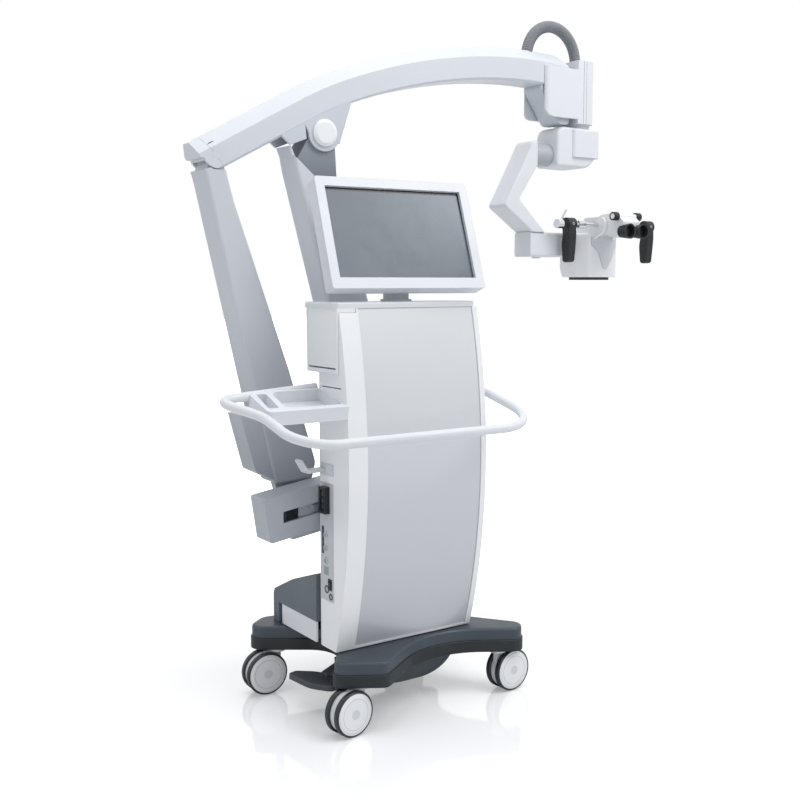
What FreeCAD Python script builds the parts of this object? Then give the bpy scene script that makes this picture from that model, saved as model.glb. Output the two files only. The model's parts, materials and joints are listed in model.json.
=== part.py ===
"""Surgical operating microscope on a mobile floor stand.

Millimetres. +Z is up, +X runs along the cabinet's front to the operator's right, +Y points to the
rear. The origin is on the floor, under the middle of the base. Every piece is its own solid.
"""
import FreeCAD, Part
import math
import os

V = FreeCAD.Vector

# Fits and gaps
RUNNING_FIT = 0.05        # radial clearance of a shaft in its bore
SEAT_GAP = 0.3            # between two pieces that touch on different bodies
PANEL_GAP = 0.6           # shut line between two covers

# Casters
WHEEL_RADIUS = 63.0
TYRE_DEPTH = 6.0
WHEEL_WIDTH = 20.0
CASTER_BODY_WIDTH = 16.0
WHEEL_GAP = 2.0           # between the caster body and each wheel
AXLE_RADIUS = 6.0
CASTER_TRAIL = 42.0       # swivel axis to axle
STEM_RADIUS = 9.0
STEM_LENGTH = 26.0
FLANGE_RADIUS = 26.0
FLANGE_THICKNESS = 6.0
# name: swivel axis x, y and the heading of the wheel behind it, in degrees
CASTERS = {
    "front_left": (-212.0, -180.0, 188.0),
    "front_right": (276.0, -170.0, 3.0),
    "rear_left": (-262.0, 212.0, 176.0),
    "rear_right": (232.0, 205.0, 183.0),
}

# Base
BASE_BOTTOM = 130.0
BAND_HEIGHT = 35.0        # black bumper band at the foot of the base
BASE_TOP = 200.0
BASE_EDGE_ROUND = 9.0
BAND_STEP = 4.0           # the band stands out from the casting
# Corners of the base in plan, anticlockwise from the front left leg: x, y, radius
BASE_PLAN = [
    (-290, -165, 26), (-166, -241, 22), (82, -78, 250), (320, -226, 32), (364, -178, 34),
    (208, 38, 140), (332, 212, 34), (270, 300, 40), (10, 262, 250), (-264, 308, 40),
    (-348, 246, 34), (-106, 80, 100),
]
BELLY_DEPTH = 78.0

# Stand column and its turning head
COLUMN_X = 60.0
ARM_Y = 150.0             # middle plane of the arm system
COLUMN_RADIUS = 62.0
COLUMN_TOP = 500.0
SPIGOT_RADIUS = 40.0
SPIGOT_HEIGHT = 50.0

# Cabinet
CABINET_LEFT = -246.0
CABINET_RIGHT = 219.0
CABINET_BACK = 0.0
CABINET_BOTTOM = 203.0
CABINET_TOP = 1150.0
COVER_HEIGHT = 16.0
CABINET_WALL = 4.0
FRONT_FOOT_Y = -107.0     # front face at the floor end of the cabinet
FRONT_BELLY_Y = -180.0    # front face where it bulges most
FRONT_BELLY_Z = 700.0
FRONT_HEAD_Y = -130.0     # front face at the top
CORNER_RADIUS = 34.0
PANEL_LEFT = -186.0       # silver front panel
PANEL_RIGHT = 201.0
PANEL_DEPTH = 14.0
PANEL_RECESS = 3.0
SKIRT_TOP = 262.0
SKIRT_BACK = 228.0
HUMP_TOP = 402.0
HUMP_MIDDLE = (140.0, 354.0)   # y and z where the slope eases
HUMP_REAR_TOP = 296.0
HUMP_REAR = 262.0

# Side box at the cabinet's upper left
BOX_LEFT = -252.0
BOX_DEPTH_X = 60.0
BOX_FRONT = -132.0
BOX_BACK = 34.0
BOX_BOTTOM = 975.0

# Connector panel at the lower left
SOCKET_PANEL_BACK = -26.0
SOCKET_PANEL_FRONT = -98.0
SOCKET_PANEL_BOTTOM = 340.0
SOCKET_PANEL_TOP = 672.0
SOCKET_PANEL_THICKNESS = 2.5

# Handle bar and tray
BAR_RADIUS = 12.5
BAR_SLOPE = 14.4          # degrees, rising to the rear
BAR_REFERENCE_Y = -167.0
BAR_REFERENCE_Z = 890.0
# Corners of the bar in plan: x, y, bend radius
BAR_PLAN = [
    (CABINET_RIGHT, -118, 0), (256, -118, 26), (256, -391, 150), (-500, -391, 105),
    (-500, -188, 110), (-572, -58, 34), (CABINET_LEFT, -6, 0),
]

# Monitor
MONITOR_X = -13.0
MONITOR_WIDTH = 490.0
MONITOR_HEIGHT = 320.0
MONITOR_DEPTH = 44.0
MONITOR_TILT = 19.7       # degrees, leaning back
MONITOR_HEADING = -3.4    # degrees about the post, towards the left
MONITOR_FOOT_Y = -147.0   # lower front edge
MONITOR_FOOT_Z = 1203.0
BEZEL_WIDTH = 27.0
BEZEL_THICKNESS = 10.0
SCREEN_THICKNESS = 3.0
MONITOR_HINGE_Y = -22.0
MONITOR_HINGE_Z = 1345.0
POST_X = -15.0
POST_Y = -60.0
POST_RADIUS = 36.0
POST_TOP = 1212.0

# Arm system: pivots in the arm plane, x and z
BASE_PIVOT = (89.0, 648.0)
TOP_PIVOT = (-148.0, 1638.0)
REAR_PIVOT = (-478.0, 1560.0)
FRONT_PIVOT = (715.0, 1885.0)
# The fourth pivot closes the parallelogram
BEAM_PIVOT = (BASE_PIVOT[0] + REAR_PIVOT[0] - TOP_PIVOT[0],
              BASE_PIVOT[1] + REAR_PIVOT[1] - TOP_PIVOT[1])
BEAM_PIN_CLEARANCE = 0.5  # radial, at the open fourth pivot
ARM_WIDTH = 96.0
PIVOT_RADIUS = 14.0
DISC_RADIUS = 38.0
DISC_THICKNESS = 10.0

# Boom: its crown as a straight run and three arcs, and its height at both ends
BOOM_START = (-547.0, 1585.0)
BOOM_HEADING = 28.6
BOOM_STRAIGHT = 358.0
BOOM_ARCS = [(1174.0, 7.4), (2084.0, 17.4), (1676.0, 9.0)]   # radius, turn in degrees
BOOM_REAR_HEIGHT = 95.0
BOOM_FRONT_HEIGHT = 106.0
CROWN_WIDTH = 36.0
CROWN_DROP = 34.0
BOOM_NOSE_RADIUS = 76.0
HEEL_RADIUS = 39.0
END_SEAM_TOP = (-498.0, 1574.0)
END_SEAM_LOW = (-464.0, 1535.0)
CHEEK_RADIUS = 51.0

# Weight box, parallel to the beam
WEIGHT_LEFT = -400.0
WEIGHT_RIGHT = -50.0
WEIGHT_TOP = 629.0
WEIGHT_BOTTOM = 501.0
WEIGHT_SLOPE = 0.145
WEIGHT_NEAR = 12.0
WEIGHT_FAR = 96.0
SLOT_LEFT = -341.0
SLOT_RIGHT = -110.0
SLOT_LOW = 548.0
SLOT_HIGH = 580.0

# Head
HEAD_X = 858.0            # vertical axis on which the head turns
BRACKET_TOP = 1945.0
CHEEK_TOP = 1914.0
BRACKET_BOTTOM = 1741.0
CHEEK_BOTTOM = 1755.0
CHEEK_CORNER = 34.0
BRACKET_LEFT = 672.0
BRACKET_RIGHT = 892.0
BLOCK_LEFT = 812.0
CHEEK_THICKNESS = 11.0
COLLAR_BOTTOM = 1728.3
COLLAR_RADIUS = 46.0
HOSE_RADIUS = 19.0
HOSE_START_X = 637.0
HOSE_END_X = 850.0
HOSE_TOP = 2071.0
DRUM_LEFT = 730.0
DRUM_RIGHT = 908.0
DRUM_NEAR = 96.0
DRUM_FAR = 204.0
DRUM_TOP = 1728.0
DRUM_BOTTOM = 1598.0
CAP_LEFT = 794.0
CAP_BOTTOM = 1632.0
ROLL_Z = 1637.0           # axis on which the C-arm rolls
LINK_RADIUS = 36.0
LINK_LEFT = 656.0
C_ARM_WIDTH = 88.0
TILT_Z = 1343.0           # axis on which the optics tilt
HOUSING_LEFT = 630.0
HOUSING_RIGHT = 772.0
HOUSING_SIZE = 80.0
HOUSING_TOP = 1383.0
SCOPE_X = 944.0
SCOPE_FRONT = 98.0
SCOPE_BACK = 200.0
SCOPE_LEFT = 834.0
SCOPE_RIGHT = 1030.0
SCOPE_BOTTOM = 1236.0
SCOPE_TOP = 1385.0
GRIP_LEFT_X = 764.0
GRIP_RIGHT_X = 1130.0
GRIP_Y = 72.0
GRIP_BOTTOM = 1286.0
COUPLING_Z = 1410.0
COUPLING_RADIUS = 7.0
COUPLING_LEFT = 712.0
COUPLING_RIGHT = 1156.0
TUBE_AXIS_Y = 62.0
TUBE_AXIS_Z = 1414.0
TUBE_HALF = 38.0
KNOB_Y = -8.0
KNOB_Z = 1436.0
EYE_SPACING = 62.0
EYE_RADIUS = 22.0
EYE_Z = 1386.0


# Drawing helpers

def corner_edges(points, place, closed=True):
    """Straight runs joined by tangent arcs, from corner points (u, v, radius)."""
    count = len(points)
    starts, ends, middles = [], [], []
    for i, (u, v, radius) in enumerate(points):
        here = V(u, v, 0)
        if not closed and i in (0, count - 1):
            starts.append(here)
            ends.append(here)
            middles.append(None)
            continue
        before = V(points[i - 1][0], points[i - 1][1], 0) - here
        after = V(points[(i + 1) % count][0], points[(i + 1) % count][1], 0) - here
        before.normalize()
        after.normalize()
        if radius <= 0:
            starts.append(here)
            ends.append(here)
            middles.append(None)
            continue
        half = before.getAngle(after) / 2
        reach = radius / math.tan(half)
        bisector = before + after
        bisector.normalize()
        starts.append(here + before * reach)
        ends.append(here + after * reach)
        middles.append(here + bisector * (radius / math.sin(half) - radius))
    edges = []
    for i in range(count):
        if middles[i] is not None:
            edges.append(Part.Arc(place(starts[i]), place(middles[i]), place(ends[i])).toShape())
        if i == count - 1 and not closed:
            break
        a = ends[i]
        b = starts[(i + 1) % count]
        if a.distanceToPoint(b) > 1e-6:
            edges.append(Part.makeLine(place(a), place(b)))
    return edges


def plate_z(points, z0, z1):
    """Plan outline (x, y, radius) pulled up from z0 to z1."""
    wire = Part.Wire(corner_edges(points, lambda p: V(p.x, p.y, z0)))
    return Part.Face(wire).extrude(V(0, 0, z1 - z0))


def plate_y(points, y0, y1):
    """Side outline (x, z, radius) pulled from y0 to y1."""
    wire = Part.Wire(corner_edges(points, lambda p: V(p.x, y0, p.y)))
    return Part.Face(wire).extrude(V(0, y1 - y0, 0))


def plate_x(points, x0, x1):
    """End outline (y, z, radius) pulled from x0 to x1."""
    wire = Part.Wire(corner_edges(points, lambda p: V(x0, p.x, p.y)))
    return Part.Face(wire).extrude(V(x1 - x0, 0, 0))


def box(x0, x1, y0, y1, z0, z1):
    return Part.makeBox(x1 - x0, y1 - y0, z1 - z0, V(x0, y0, z0))


def rod(start, end, radius):
    start = V(*start)
    along = V(*end) - start
    return Part.makeCylinder(radius, along.Length, start, along)


def cone(start, end, radius_start, radius_end):
    start = V(*start)
    along = V(*end) - start
    return Part.makeCone(radius_start, radius_end, along.Length, start, along)


def pin_y(x, z, radius, y0, y1):
    return rod((x, y0, z), (x, y1, z), radius)


def pin_x(y, z, radius, x0, x1):
    return rod((x0, y, z), (x1, y, z), radius)


def tube_along(points, radius, place):
    """Round bar along corner points, straight runs joined by tangent arcs."""
    edges = corner_edges(points, place, closed=False)
    path = Part.Wire(edges)
    first = edges[0]
    start = first.valueAt(first.FirstParameter)
    tangent = first.tangentAt(first.FirstParameter)
    ring = Part.Wire(Part.makeCircle(radius, start, tangent))
    return path.makePipeShell([ring], True, False)


def fuse(first, *others):
    return first.fuse(list(others)).removeSplitter()


def cut(shape, *tools):
    return shape.cut(list(tools))


def is_parallel(edge, direction):
    if edge.Curve.TypeId != "Part::GeomLine":
        return False
    return abs(abs(edge.tangentAt(edge.FirstParameter).dot(direction)) - 1) < 1e-6


def round_parallel(shape, radius, direction):
    """Round every straight edge that runs along a direction."""
    return shape.makeFillet(radius, [e for e in shape.Edges if is_parallel(e, direction)])


def round_level(shape, radius, z):
    """Round every edge that lies at one height."""
    edges = []
    for e in shape.Edges:
        box_of = e.BoundBox
        if abs(box_of.ZMin - z) < 0.01 and abs(box_of.ZMax - z) < 0.01:
            edges.append(e)
    return shape.makeFillet(radius, edges)


def turned(shape, centre, axis, degrees):
    return shape.rotated(V(*centre), V(*axis), degrees)


def grown(points, amount):
    """The same outline, moved outwards by a small amount from each corner."""
    count = len(points)
    result = []
    for i, (u, v, radius) in enumerate(points):
        a = V(u - points[i - 1][0], v - points[i - 1][1], 0)
        b = V(points[(i + 1) % count][0] - u, points[(i + 1) % count][1] - v, 0)
        a.normalize()
        b.normalize()
        out = V(a.y, -a.x, 0) + V(b.y, -b.x, 0)
        out.normalize()
        turn = math.sqrt((1 + a.dot(b)) / 2)
        convex = a.x * b.y - a.y * b.x > 0
        shift = amount / turn
        result.append((u + out.x * shift, v + out.y * shift, radius + (amount if convex else -amount)))
    return result


# Base and casters

def stem_bores():
    return [rod((x, y, BASE_BOTTOM - 1), (x, y, BASE_BOTTOM + STEM_LENGTH), STEM_RADIUS + RUNNING_FIT)
            for x, y, heading in CASTERS.values()]


def base_casting():
    body = plate_z(BASE_PLAN, BASE_BOTTOM + BAND_HEIGHT, BASE_TOP)
    body = round_level(body, BASE_EDGE_ROUND, BASE_TOP)
    return body


def base_bumper():
    band = plate_z(grown(BASE_PLAN, BAND_STEP), BASE_BOTTOM, BASE_BOTTOM + BAND_HEIGHT)
    band = round_level(band, 3.0, BASE_BOTTOM + BAND_HEIGHT)
    return cut(band, *stem_bores())


def belly_pan():
    """Rounded pan under the base, lofted from a wide mouth to a narrow keel."""
    def ring(x0, x1, y0, y1, r, z):
        points = [(x0, y0, r), (x1, y0, r), (x1, y1, r), (x0, y1, r)]
        return Part.Wire(corner_edges(points, lambda p: V(p.x, p.y, z)))
    top = BASE_BOTTOM
    rings = [
        ring(-118, 198, -100, 150, 60, top),
        ring(-104, 180, -92, 144, 58, top - BELLY_DEPTH * 0.45),
        ring(-72, 138, -78, 128, 54, top - BELLY_DEPTH * 0.85),
        ring(-40, 98, -60, 108, 46, top - BELLY_DEPTH),
    ]
    return Part.makeLoft(rings, True, False)


def caster_body(x, y, heading):
    """Hood between the two wheels, with its stem and flange, the wheel ahead along +X."""
    half = CASTER_BODY_WIDTH / 2
    hub_z = WHEEL_RADIUS
    hood_radius = WHEEL_RADIUS - TYRE_DEPTH
    hood = pin_y(CASTER_TRAIL, hub_z, hood_radius, -half, half)
    foot = box(CASTER_TRAIL - 80, CASTER_TRAIL + 80, -half - 1, half + 1, -10, hub_z - 34)
    hood = cut(hood, foot)
    flange_z = BASE_BOTTOM - SEAT_GAP
    neck = rod((0, 0, hub_z - 10), (0, 0, flange_z - FLANGE_THICKNESS), half)
    web = box(-half, CASTER_TRAIL, -half, half, hub_z - 10, flange_z - FLANGE_THICKNESS)
    flange = rod((0, 0, flange_z - FLANGE_THICKNESS), (0, 0, flange_z), FLANGE_RADIUS)
    stem = rod((0, 0, flange_z), (0, 0, flange_z + STEM_LENGTH - 2), STEM_RADIUS)
    body = fuse(hood, neck, web, flange, stem)
    body = cut(body, pin_y(CASTER_TRAIL, hub_z, AXLE_RADIUS + RUNNING_FIT, -half - 1, half + 1))
    return placed_caster(body, x, y, heading)


def placed_caster(shape, x, y, heading):
    shape = turned(shape, (0, 0, 0), (0, 0, 1), heading)
    shape.translate(V(x, y, 0))
    return shape


def caster_wheel(x, y, heading):
    """Twin discs on one axle, each with its tyre as a ring."""
    inner = CASTER_BODY_WIDTH / 2 + WHEEL_GAP
    outer = inner + WHEEL_WIDTH
    rim = WHEEL_RADIUS - TYRE_DEPTH
    disc = [
        (0, -outer), (rim * 0.86, -outer), (rim - 2, -outer + 3), (rim - 2, -inner - 1),
        (AXLE_RADIUS + 8, -inner), (AXLE_RADIUS, -inner), (AXLE_RADIUS, inner),
        (AXLE_RADIUS + 8, inner), (rim - 2, inner + 1), (rim - 2, outer - 3),
        (rim * 0.86, outer), (0, outer),
    ]
    points = [V(r, w, 0) for r, w in disc]
    face = Part.Face(Part.makePolygon(points + [points[0]]))
    wheels = face.revolve(V(0, 0, 0), V(0, 1, 0), 360)
    tyres = []
    for side in (-1, 1):
        tread = [(rim - 2, side * (inner + 1), 0), (WHEEL_RADIUS - 2, side * (inner + 1), 0),
                 (WHEEL_RADIUS, side * (inner + 4), 0), (WHEEL_RADIUS, side * (outer - 5), 0),
                 (WHEEL_RADIUS - 3, side * (outer - 1), 0), (rim - 2, side * (outer - 3), 0)]
        ring = [V(r, w, 0) for r, w, unused in tread]
        face = Part.Face(Part.makePolygon(ring + [ring[0]]))
        tyres.append(face.revolve(V(0, 0, 0), V(0, 1, 0), 360))
    pair = Part.makeCompound([wheels] + tyres)
    pair.translate(V(CASTER_TRAIL, 0, WHEEL_RADIUS))
    return placed_caster(pair, x, y, heading)


PEDAL_AXIS_X = -150.0
PEDAL_AXIS_Z = 112.0
PEDAL_Y = 14.0


def brake_pedal():
    """Leaf-shaped pad on a short arm, carried by a shaft along Y."""
    leaf = [(-292, PEDAL_Y + 76, 12), (-280, PEDAL_Y - 30, 90), (-240, PEDAL_Y - 86, 18),
            (-196, PEDAL_Y - 78, 22), (-198, PEDAL_Y + 30, 80), (-262, PEDAL_Y + 84, 16)]
    pad = plate_z(leaf, PEDAL_AXIS_Z - 34, PEDAL_AXIS_Z - 18)
    pad = round_level(pad, 5.0, PEDAL_AXIS_Z - 18)
    arm = plate_y([(-214, PEDAL_AXIS_Z - 30, 4), (PEDAL_AXIS_X - 8, PEDAL_AXIS_Z - 14, 6),
                   (PEDAL_AXIS_X + 10, PEDAL_AXIS_Z + 4, 8), (PEDAL_AXIS_X - 10, PEDAL_AXIS_Z + 10, 8),
                   (-214, PEDAL_AXIS_Z - 12, 4)], PEDAL_Y - 16, PEDAL_Y + 16)
    body = fuse(pad, arm, pin_y(PEDAL_AXIS_X, PEDAL_AXIS_Z, 7, PEDAL_Y - 26, PEDAL_Y + 26))
    return body


def pedal_hangers():
    ears = []
    for side in (-1, 1):
        y0 = PEDAL_Y + side * 18
        y1 = PEDAL_Y + side * 28
        ear = plate_y([(PEDAL_AXIS_X - 14, BASE_BOTTOM, 0), (PEDAL_AXIS_X - 12, PEDAL_AXIS_Z - 11, 10),
                       (PEDAL_AXIS_X + 14, PEDAL_AXIS_Z - 11, 10), (PEDAL_AXIS_X + 16, BASE_BOTTOM, 0)],
                      min(y0, y1), max(y0, y1))
        ear = cut(ear, pin_y(PEDAL_AXIS_X, PEDAL_AXIS_Z, 7 + RUNNING_FIT, PEDAL_Y - 40, PEDAL_Y + 40))
        ears.append(ear)
    return ears


# Column

def column():
    tube = rod((COLUMN_X, ARM_Y, BASE_TOP), (COLUMN_X, ARM_Y, COLUMN_TOP), COLUMN_RADIUS)
    foot = rod((COLUMN_X, ARM_Y, BASE_TOP), (COLUMN_X, ARM_Y, BASE_TOP + 14), COLUMN_RADIUS + 6)
    spigot = rod((COLUMN_X, ARM_Y, COLUMN_TOP), (COLUMN_X, ARM_Y, COLUMN_TOP + SPIGOT_HEIGHT),
                 SPIGOT_RADIUS)
    return fuse(tube, foot, spigot)


# Cabinet

def front_profile(offset=0.0):
    """The bowed front in side view, as one arc from foot to head."""
    foot = V(0, FRONT_FOOT_Y + offset, CABINET_BOTTOM)
    belly = V(0, FRONT_BELLY_Y + offset, FRONT_BELLY_Z)
    head = V(0, FRONT_HEAD_Y + offset, CABINET_TOP)
    return foot, belly, head


def cabinet_solid(x0, x1, front_offset, back, z0=CABINET_BOTTOM, z1=CABINET_TOP):
    foot, belly, head = front_profile(front_offset)
    arc = Part.Arc(foot, belly, head).toShape()
    back_top = V(0, back, CABINET_TOP)
    back_foot = V(0, back, CABINET_BOTTOM)
    wire = Part.Wire([arc, Part.makeLine(head, back_top), Part.makeLine(back_top, back_foot),
                      Part.makeLine(back_foot, foot)])
    solid = Part.Face(wire).extrude(V(x1 - x0, 0, 0))
    solid.translate(V(x0, 0, 0))
    if z0 > CABINET_BOTTOM or z1 < CABINET_TOP:
        solid = solid.common(box(x0 - 1, x1 + 1, -400, 400, z0, z1))
    return solid


def cabinet_shell():
    body = cabinet_solid(CABINET_LEFT, CABINET_RIGHT, 0, CABINET_BACK)
    body = round_parallel(body, CORNER_RADIUS, V(0, 0, 1))
    wall = CABINET_WALL
    room = cabinet_solid(CABINET_LEFT + wall, CABINET_RIGHT - wall, PANEL_DEPTH + PANEL_RECESS + 6,
                         CABINET_BACK - wall)
    room = room.common(box(-400, 400, -400, 400, CABINET_BOTTOM + wall, CABINET_TOP + 1))
    room = round_parallel(room, CORNER_RADIUS - wall, V(0, 0, 1))
    window = cabinet_solid(PANEL_LEFT, PANEL_RIGHT, -5, CABINET_BACK - 60, CABINET_BOTTOM + 6,
                           CABINET_TOP)
    side = box(BOX_LEFT - 5, BOX_LEFT + BOX_DEPTH_X + PANEL_GAP, BOX_FRONT - PANEL_GAP,
               CABINET_BACK + 5, BOX_BOTTOM - PANEL_GAP, CABINET_TOP + 1)
    sockets = box(CABINET_LEFT - 5, CABINET_LEFT + SOCKET_PANEL_THICKNESS,
                  SOCKET_PANEL_FRONT, SOCKET_PANEL_BACK, SOCKET_PANEL_BOTTOM, SOCKET_PANEL_TOP)
    behind = box(CABINET_LEFT - 5, CABINET_LEFT + wall + 1, SOCKET_PANEL_FRONT + 4,
                 SOCKET_PANEL_BACK - 4, SOCKET_PANEL_BOTTOM + 4, SOCKET_PANEL_TOP - 4)
    slots = box(CABINET_LEFT - 5, CABINET_LEFT + wall + 5, -143, -40, 936, 938.5)
    return cut(body, room, window, side, sockets, behind, slots)


def front_panel():
    """Silver panel that follows the bow of the front."""
    edge = PANEL_GAP
    outer = cabinet_solid(PANEL_LEFT + edge, PANEL_RIGHT - edge, PANEL_RECESS, 0,
                          CABINET_BOTTOM + 6 + edge, CABINET_TOP)
    inner = cabinet_solid(PANEL_LEFT - 5, PANEL_RIGHT + 5, PANEL_RECESS + PANEL_DEPTH, 50)
    return cut(outer, inner)


def top_cover():
    outline = [(CABINET_LEFT, FRONT_HEAD_Y, 6), (CABINET_RIGHT, FRONT_HEAD_Y, 24),
               (CABINET_RIGHT, CABINET_BACK, CORNER_RADIUS), (BOX_LEFT + BOX_DEPTH_X, CABINET_BACK, 4),
               (BOX_LEFT + BOX_DEPTH_X, BOX_BACK + 8, 10), (BOX_LEFT - 3, BOX_BACK + 8, 12),
               (BOX_LEFT - 3, FRONT_HEAD_Y + 14, 6)]
    cover = plate_z(outline, CABINET_TOP, CABINET_TOP + COVER_HEIGHT)
    return round_level(cover, 5.0, CABINET_TOP + COVER_HEIGHT)


def side_box():
    body = box(BOX_LEFT, BOX_LEFT + BOX_DEPTH_X, BOX_FRONT, BOX_BACK, BOX_BOTTOM, CABINET_TOP)
    body = round_parallel(body, 5.0, V(0, 0, 1))
    slot = box(BOX_LEFT - 1, BOX_LEFT + 40, BOX_FRONT + 8, BOX_BACK - 12, BOX_BOTTOM + 12,
               BOX_BOTTOM + 16)
    pocket = box(BOX_LEFT - 1, BOX_LEFT + 1, BOX_FRONT + 10, BOX_BACK - 8, BOX_BOTTOM + 24,
                 CABINET_TOP - 6)
    room = box(BOX_LEFT + 8, BOX_LEFT + BOX_DEPTH_X - 4, BOX_FRONT + 6, BOX_BACK - 6,
               BOX_BOTTOM + 22, CABINET_TOP - 4)
    return cut(body, slot, pocket, room)


def cabinet_skirt():
    """Plinth that carries the cabinet and runs to the rear under the sloped cover."""
    outline = [(CABINET_LEFT - 1, CABINET_BACK, 0), (CABINET_RIGHT + 1, CABINET_BACK, 0),
               (CABINET_RIGHT + 1, SKIRT_BACK, 30), (CABINET_LEFT - 1, SKIRT_BACK, 30)]
    plinth = plate_z(outline, CABINET_BOTTOM, SKIRT_TOP)
    room = plate_z([(CABINET_LEFT + 5, CABINET_BACK - 1, 0), (CABINET_RIGHT - 5, CABINET_BACK - 1, 0),
                    (CABINET_RIGHT - 5, SKIRT_BACK - 6, 25), (CABINET_LEFT + 5, SKIRT_BACK - 6, 25)],
                   CABINET_BOTTOM - 1, SKIRT_TOP + 1)
    feet = [box(x, x + 40, -90, CABINET_BACK, BASE_TOP, CABINET_BOTTOM) for x in (-150, 110)]
    rear = [box(x, x + 40, SKIRT_BACK - 50, SKIRT_BACK - 6, BASE_TOP, CABINET_BOTTOM + 4)
            for x in (-200, 130)]
    frame = cut(plinth, room)
    return Part.makeCompound([fuse(frame, *rear)] + feet)


def rear_cover():
    """Sloped slate cover over the rear of the base, open round the column."""
    seat = BASE_TOP + PANEL_GAP
    wall = 5.0
    middle_y, middle_z = HUMP_MIDDLE
    profile = [(CABINET_BACK + PANEL_GAP, SKIRT_TOP, 0), (CABINET_BACK + PANEL_GAP, HUMP_TOP, 6),
               (middle_y, middle_z, 300), (HUMP_REAR, HUMP_REAR_TOP, 26), (HUMP_REAR, seat, 0),
               (SKIRT_BACK + PANEL_GAP, seat, 0), (SKIRT_BACK + PANEL_GAP, SKIRT_TOP, 0)]
    hump = plate_x(profile, CABINET_LEFT, CABINET_RIGHT)
    inner = [(CABINET_BACK + wall, SKIRT_TOP - 1, 0), (CABINET_BACK + wall, HUMP_TOP - wall - 2, 4),
             (middle_y, middle_z - wall, 300), (HUMP_REAR - wall, HUMP_REAR_TOP - wall, 21),
             (HUMP_REAR - wall, seat - 1, 0), (SKIRT_BACK + wall + 2, seat - 1, 0),
             (SKIRT_BACK + wall + 2, SKIRT_TOP - 1, 0)]
    room = plate_x(inner, CABINET_LEFT + wall, CABINET_RIGHT - wall)
    hole = rod((COLUMN_X, ARM_Y, BASE_TOP), (COLUMN_X, ARM_Y, HUMP_TOP + 50), COLUMN_RADIUS + 2)
    return cut(hump, room, hole)


def socket_plate():
    x0 = CABINET_LEFT
    plate = box(x0, x0 + SOCKET_PANEL_THICKNESS, SOCKET_PANEL_FRONT + PANEL_GAP,
                SOCKET_PANEL_BACK - PANEL_GAP, SOCKET_PANEL_BOTTOM + PANEL_GAP,
                SOCKET_PANEL_TOP - PANEL_GAP)
    return cut(plate, *[hole for hole in socket_holes()])


JACK_Y = -40.0
JACK_TOP = 540.0
JACK_PITCH = 15.5
JACK_COUNT = 5
ROUND_SOCKETS = [(-57.0, 525.0, 9.0), (-56.0, 488.0, 9.0), (-56.0, 452.0, 9.0)]
CONNECTOR_BLOCK = (-78.0, -44.0, 588.0, 662.0)        # y0, y1, z0, z1
SWITCH_FRAME = (-88.0, -68.0, 372.0, 404.0)
INLETS = [(-60.0, 372.0, 11.0), (-82.0, 354.5, 9.0)]  # y, z, radius


def socket_holes():
    x0 = CABINET_LEFT - 1
    x1 = CABINET_LEFT + SOCKET_PANEL_THICKNESS + 1
    holes = [pin_x(JACK_Y, JACK_TOP - i * JACK_PITCH, 3.0, x0, x1) for i in range(JACK_COUNT)]
    holes += [pin_x(y, z, r, x0, x1) for y, z, r in ROUND_SOCKETS]
    y0, y1, z0, z1 = CONNECTOR_BLOCK
    holes.append(box(x0, x1, y0, y1, z0, z1))
    y0, y1, z0, z1 = SWITCH_FRAME
    holes.append(box(x0, x1, y0, y1, z0, z1))
    holes += [pin_x(y, z, r, x0, x1) for y, z, r in INLETS]
    return holes


def connector_panel():
    """Plate with its bushes, mains inlets, switch frame and large connector block."""
    x0 = CABINET_LEFT
    back = x0 + SOCKET_PANEL_THICKNESS + 1.2
    pieces = [socket_plate()]
    for i in range(JACK_COUNT):
        z = JACK_TOP - i * JACK_PITCH
        bush = pin_x(JACK_Y, z, 3.0, x0 - 1, back)
        pieces.append(cut(bush, pin_x(JACK_Y, z, 1.6, x0 - 2, x0 + 2)))
    for y, z, r in ROUND_SOCKETS:
        ring = pin_x(y, z, r, x0 - 3, back)
        pieces.append(cut(ring, pin_x(y, z, r - 2.5, x0 - 4, x0 + 1.5)))
    for y, z, r in INLETS:
        ring = pin_x(y, z, r, x0 - 1.5, back)
        pieces.append(cut(ring, pin_x(y, z, r - 3, x0 - 3, x0 + 1.5)))
    y0, y1, z0, z1 = CONNECTOR_BLOCK
    block = box(x0 - 16, back, y0, y1, z0, z1)
    face = box(x0 - 17, x0 - 12, y0 + 8, y1 - 8, z0 + 8, z1 - 8)
    pieces.append(cut(block, face))
    y0, y1, z0, z1 = SWITCH_FRAME
    frame = box(x0 - 1.5, back, y0, y1, z0, z1)
    pocket = box(x0 - 3, x0 + 2.4, y0 + 3, y1 - 3, z0 + 4, z1 - 4)
    pieces.append(cut(frame, pocket))
    return Part.makeCompound(pieces)


def power_switch():
    """Rocker in the switch frame, on a pivot along Y."""
    y0, y1, z0, z1 = SWITCH_FRAME
    x0 = CABINET_LEFT
    middle = (z0 + z1) / 2
    profile = [(x0 - 4.5, z0 + 6.5, 1), (x0 - 3.4, middle, 0), (x0 - 4.5, z1 - 6.5, 1),
               (x0 + 0.6, z1 - 6, 0), (x0 + 1.6, middle, 0), (x0 + 0.6, z0 + 6, 0)]
    rocker = plate_y(profile, y0 + 3.4, y1 - 3.4)
    pin = pin_y(x0 - 0.4, middle, 1.8, y0 + 3.3, y1 - 3.3)
    return fuse(rocker, pin)


def cable_hook():
    plate = box(CABINET_LEFT - 3, CABINET_LEFT, -100, -34, 694, 726)
    arm = plate_y([(CABINET_LEFT, 704, 0), (CABINET_LEFT - 62, 702, 12), (CABINET_LEFT - 84, 738, 2),
                   (CABINET_LEFT - 76, 743, 2), (CABINET_LEFT - 56, 712, 6), (CABINET_LEFT, 713, 0)],
                  -62, -34)
    return fuse(plate, arm)


# Inside the cabinet

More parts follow.
